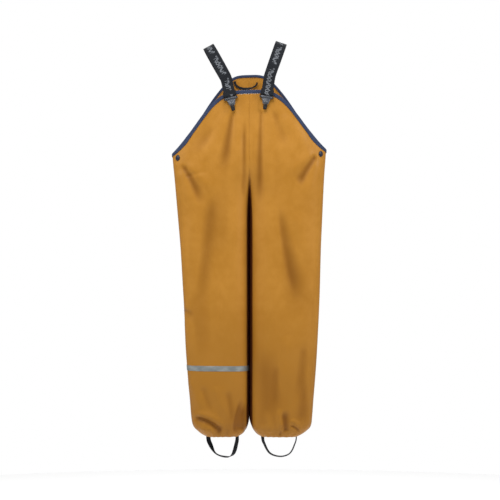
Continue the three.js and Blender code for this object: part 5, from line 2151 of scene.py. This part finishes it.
# ---- Studio ----
@dataclass(frozen=True)
class SoftBox:
    """An area light: its place and aim in metres, its size and its power."""

    name: str
    place: tuple[float, float, float]
    aim: tuple[float, float, float]
    size: tuple[float, float]
    power: float
    colour: Colour = (1.0, 1.0, 1.0)

    def build(self) -> None:
        """Adds the light."""
        light = bpy.data.lights.new(self.name, "AREA")
        light.shape = "RECTANGLE"
        light.size, light.size_y = self.size
        light.energy, light.color = self.power, self.colour
        made = bpy.data.objects.new(self.name, light)
        made.location = self.place
        made.rotation_euler = (Vector(self.aim) - Vector(self.place)).to_track_quat("-Z", "Y").to_euler()
        bpy.context.scene.collection.objects.link(made)


@dataclass
class Studio:
    """Pale floor and surroundings, soft lights and the camera."""

    camera_place: tuple[float, float, float] = (0.0016, -4.0, -0.4296)
    lens: float = 137.14
    floor_height: float = -1.12
    around: float = 0.22
    lights: tuple[SoftBox, ...] = (
        SoftBox("key", (-0.2, -1.2, 1.15), (0.0, 0.0, -0.1), (1.2, 0.9), 35.0),
        SoftBox("left side", (-1.7, -0.6, 0.6), (0.0, 0.0, -0.1), (0.9, 1.0), 25.0),
        SoftBox("right side", (1.7, -0.75, 0.55), (0.0, 0.0, -0.1), (0.9, 1.0), 32.0),
        SoftBox("rear", (0.0, 1.9, 1.1), (0.0, 0.0, -0.3), (1.8, 1.0), 20.0),
    )

    def surroundings(self) -> None:
        """A pale world that is brighter to look at than the light it gives."""
        world = bpy.data.worlds.new("studio")
        bpy.context.scene.world = world
        world.use_nodes = True
        tree = world.node_tree
        tree.nodes.clear()
        seen, given = tree.nodes.new("ShaderNodeBackground"), tree.nodes.new("ShaderNodeBackground")
        for node, strength in ((given, self.around), (seen, 1.0)):
            node.inputs[0].default_value = (1, 1, 1, 1)
            node.inputs[1].default_value = strength
        path, mix = tree.nodes.new("ShaderNodeLightPath"), tree.nodes.new("ShaderNodeMixShader")
        output = tree.nodes.new("ShaderNodeOutputWorld")
        tree.links.new(path.outputs["Is Camera Ray"], mix.inputs[0])
        tree.links.new(given.outputs[0], mix.inputs[1])
        tree.links.new(seen.outputs[0], mix.inputs[2])
        tree.links.new(mix.outputs[0], output.inputs[0])

    def floor(self) -> None:
        """A wide pale disc, four metres across."""
        t = np.linspace(0, 2 * np.pi, 96, endpoint=False)
        radii = np.array([0.02, 0.5, 1.0, 1.5, 2.0]) / MM
        grid = np.stack([np.outer(radii, np.cos(t)), np.outer(radii, np.sin(t)),
                         np.full((len(radii), len(t)), self.floor_height / MM)], -1)
        maker = Maker("pale_floor")
        where = maker.object_map()
        colour = maker.blend(maker.noise(where, 3.0), (0.9, 0.9, 0.9), (0.93, 0.93, 0.93))
        finish = maker.dress(Base_Color=colour, Roughness=0.9, Emission_Color=(1.0, 1.0, 1.0),
                             Emission_Strength=0.3)
        shell = Shell()
        shell.add(grid, [grid_quads(len(radii), len(t), False, True)], grid[..., :2])
        shell.build("floor", finish)

    def build(self) -> None:
        """Adds the camera, the lights, the floor and the surroundings."""
        scene = bpy.context.scene
        data = bpy.data.cameras.new("camera")
        data.lens, data.sensor_width = self.lens, 36.0
        camera = bpy.data.objects.new("camera", data)
        camera.location = self.camera_place
        camera.rotation_euler = (math.pi / 2, 0, 0)
        scene.collection.objects.link(camera)
        scene.camera = camera
        scene.view_settings.view_transform = "Standard"
        self.surroundings()
        self.floor()
        for light in self.lights:
            light.build()


def main() -> None:
    """Builds the studio and the garment from the hem's inside to its hanger loop."""
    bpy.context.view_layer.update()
    Studio().build()
    finishes = Finishes()
    parts: Sequence[Callable[[], None]] = (
        Panels(finishes).build,
        Hems(finishes).build,
        Band(finishes).build,
        Binding(finishes).build,
        Snaps(finishes).build,
        Clips(finishes).build,
        Braces(finishes).build,
        FootStraps(finishes).build,
        HangerLoop(finishes).build,
    )
    for build in parts:
        build()


if __name__ == "__main__":
    main()
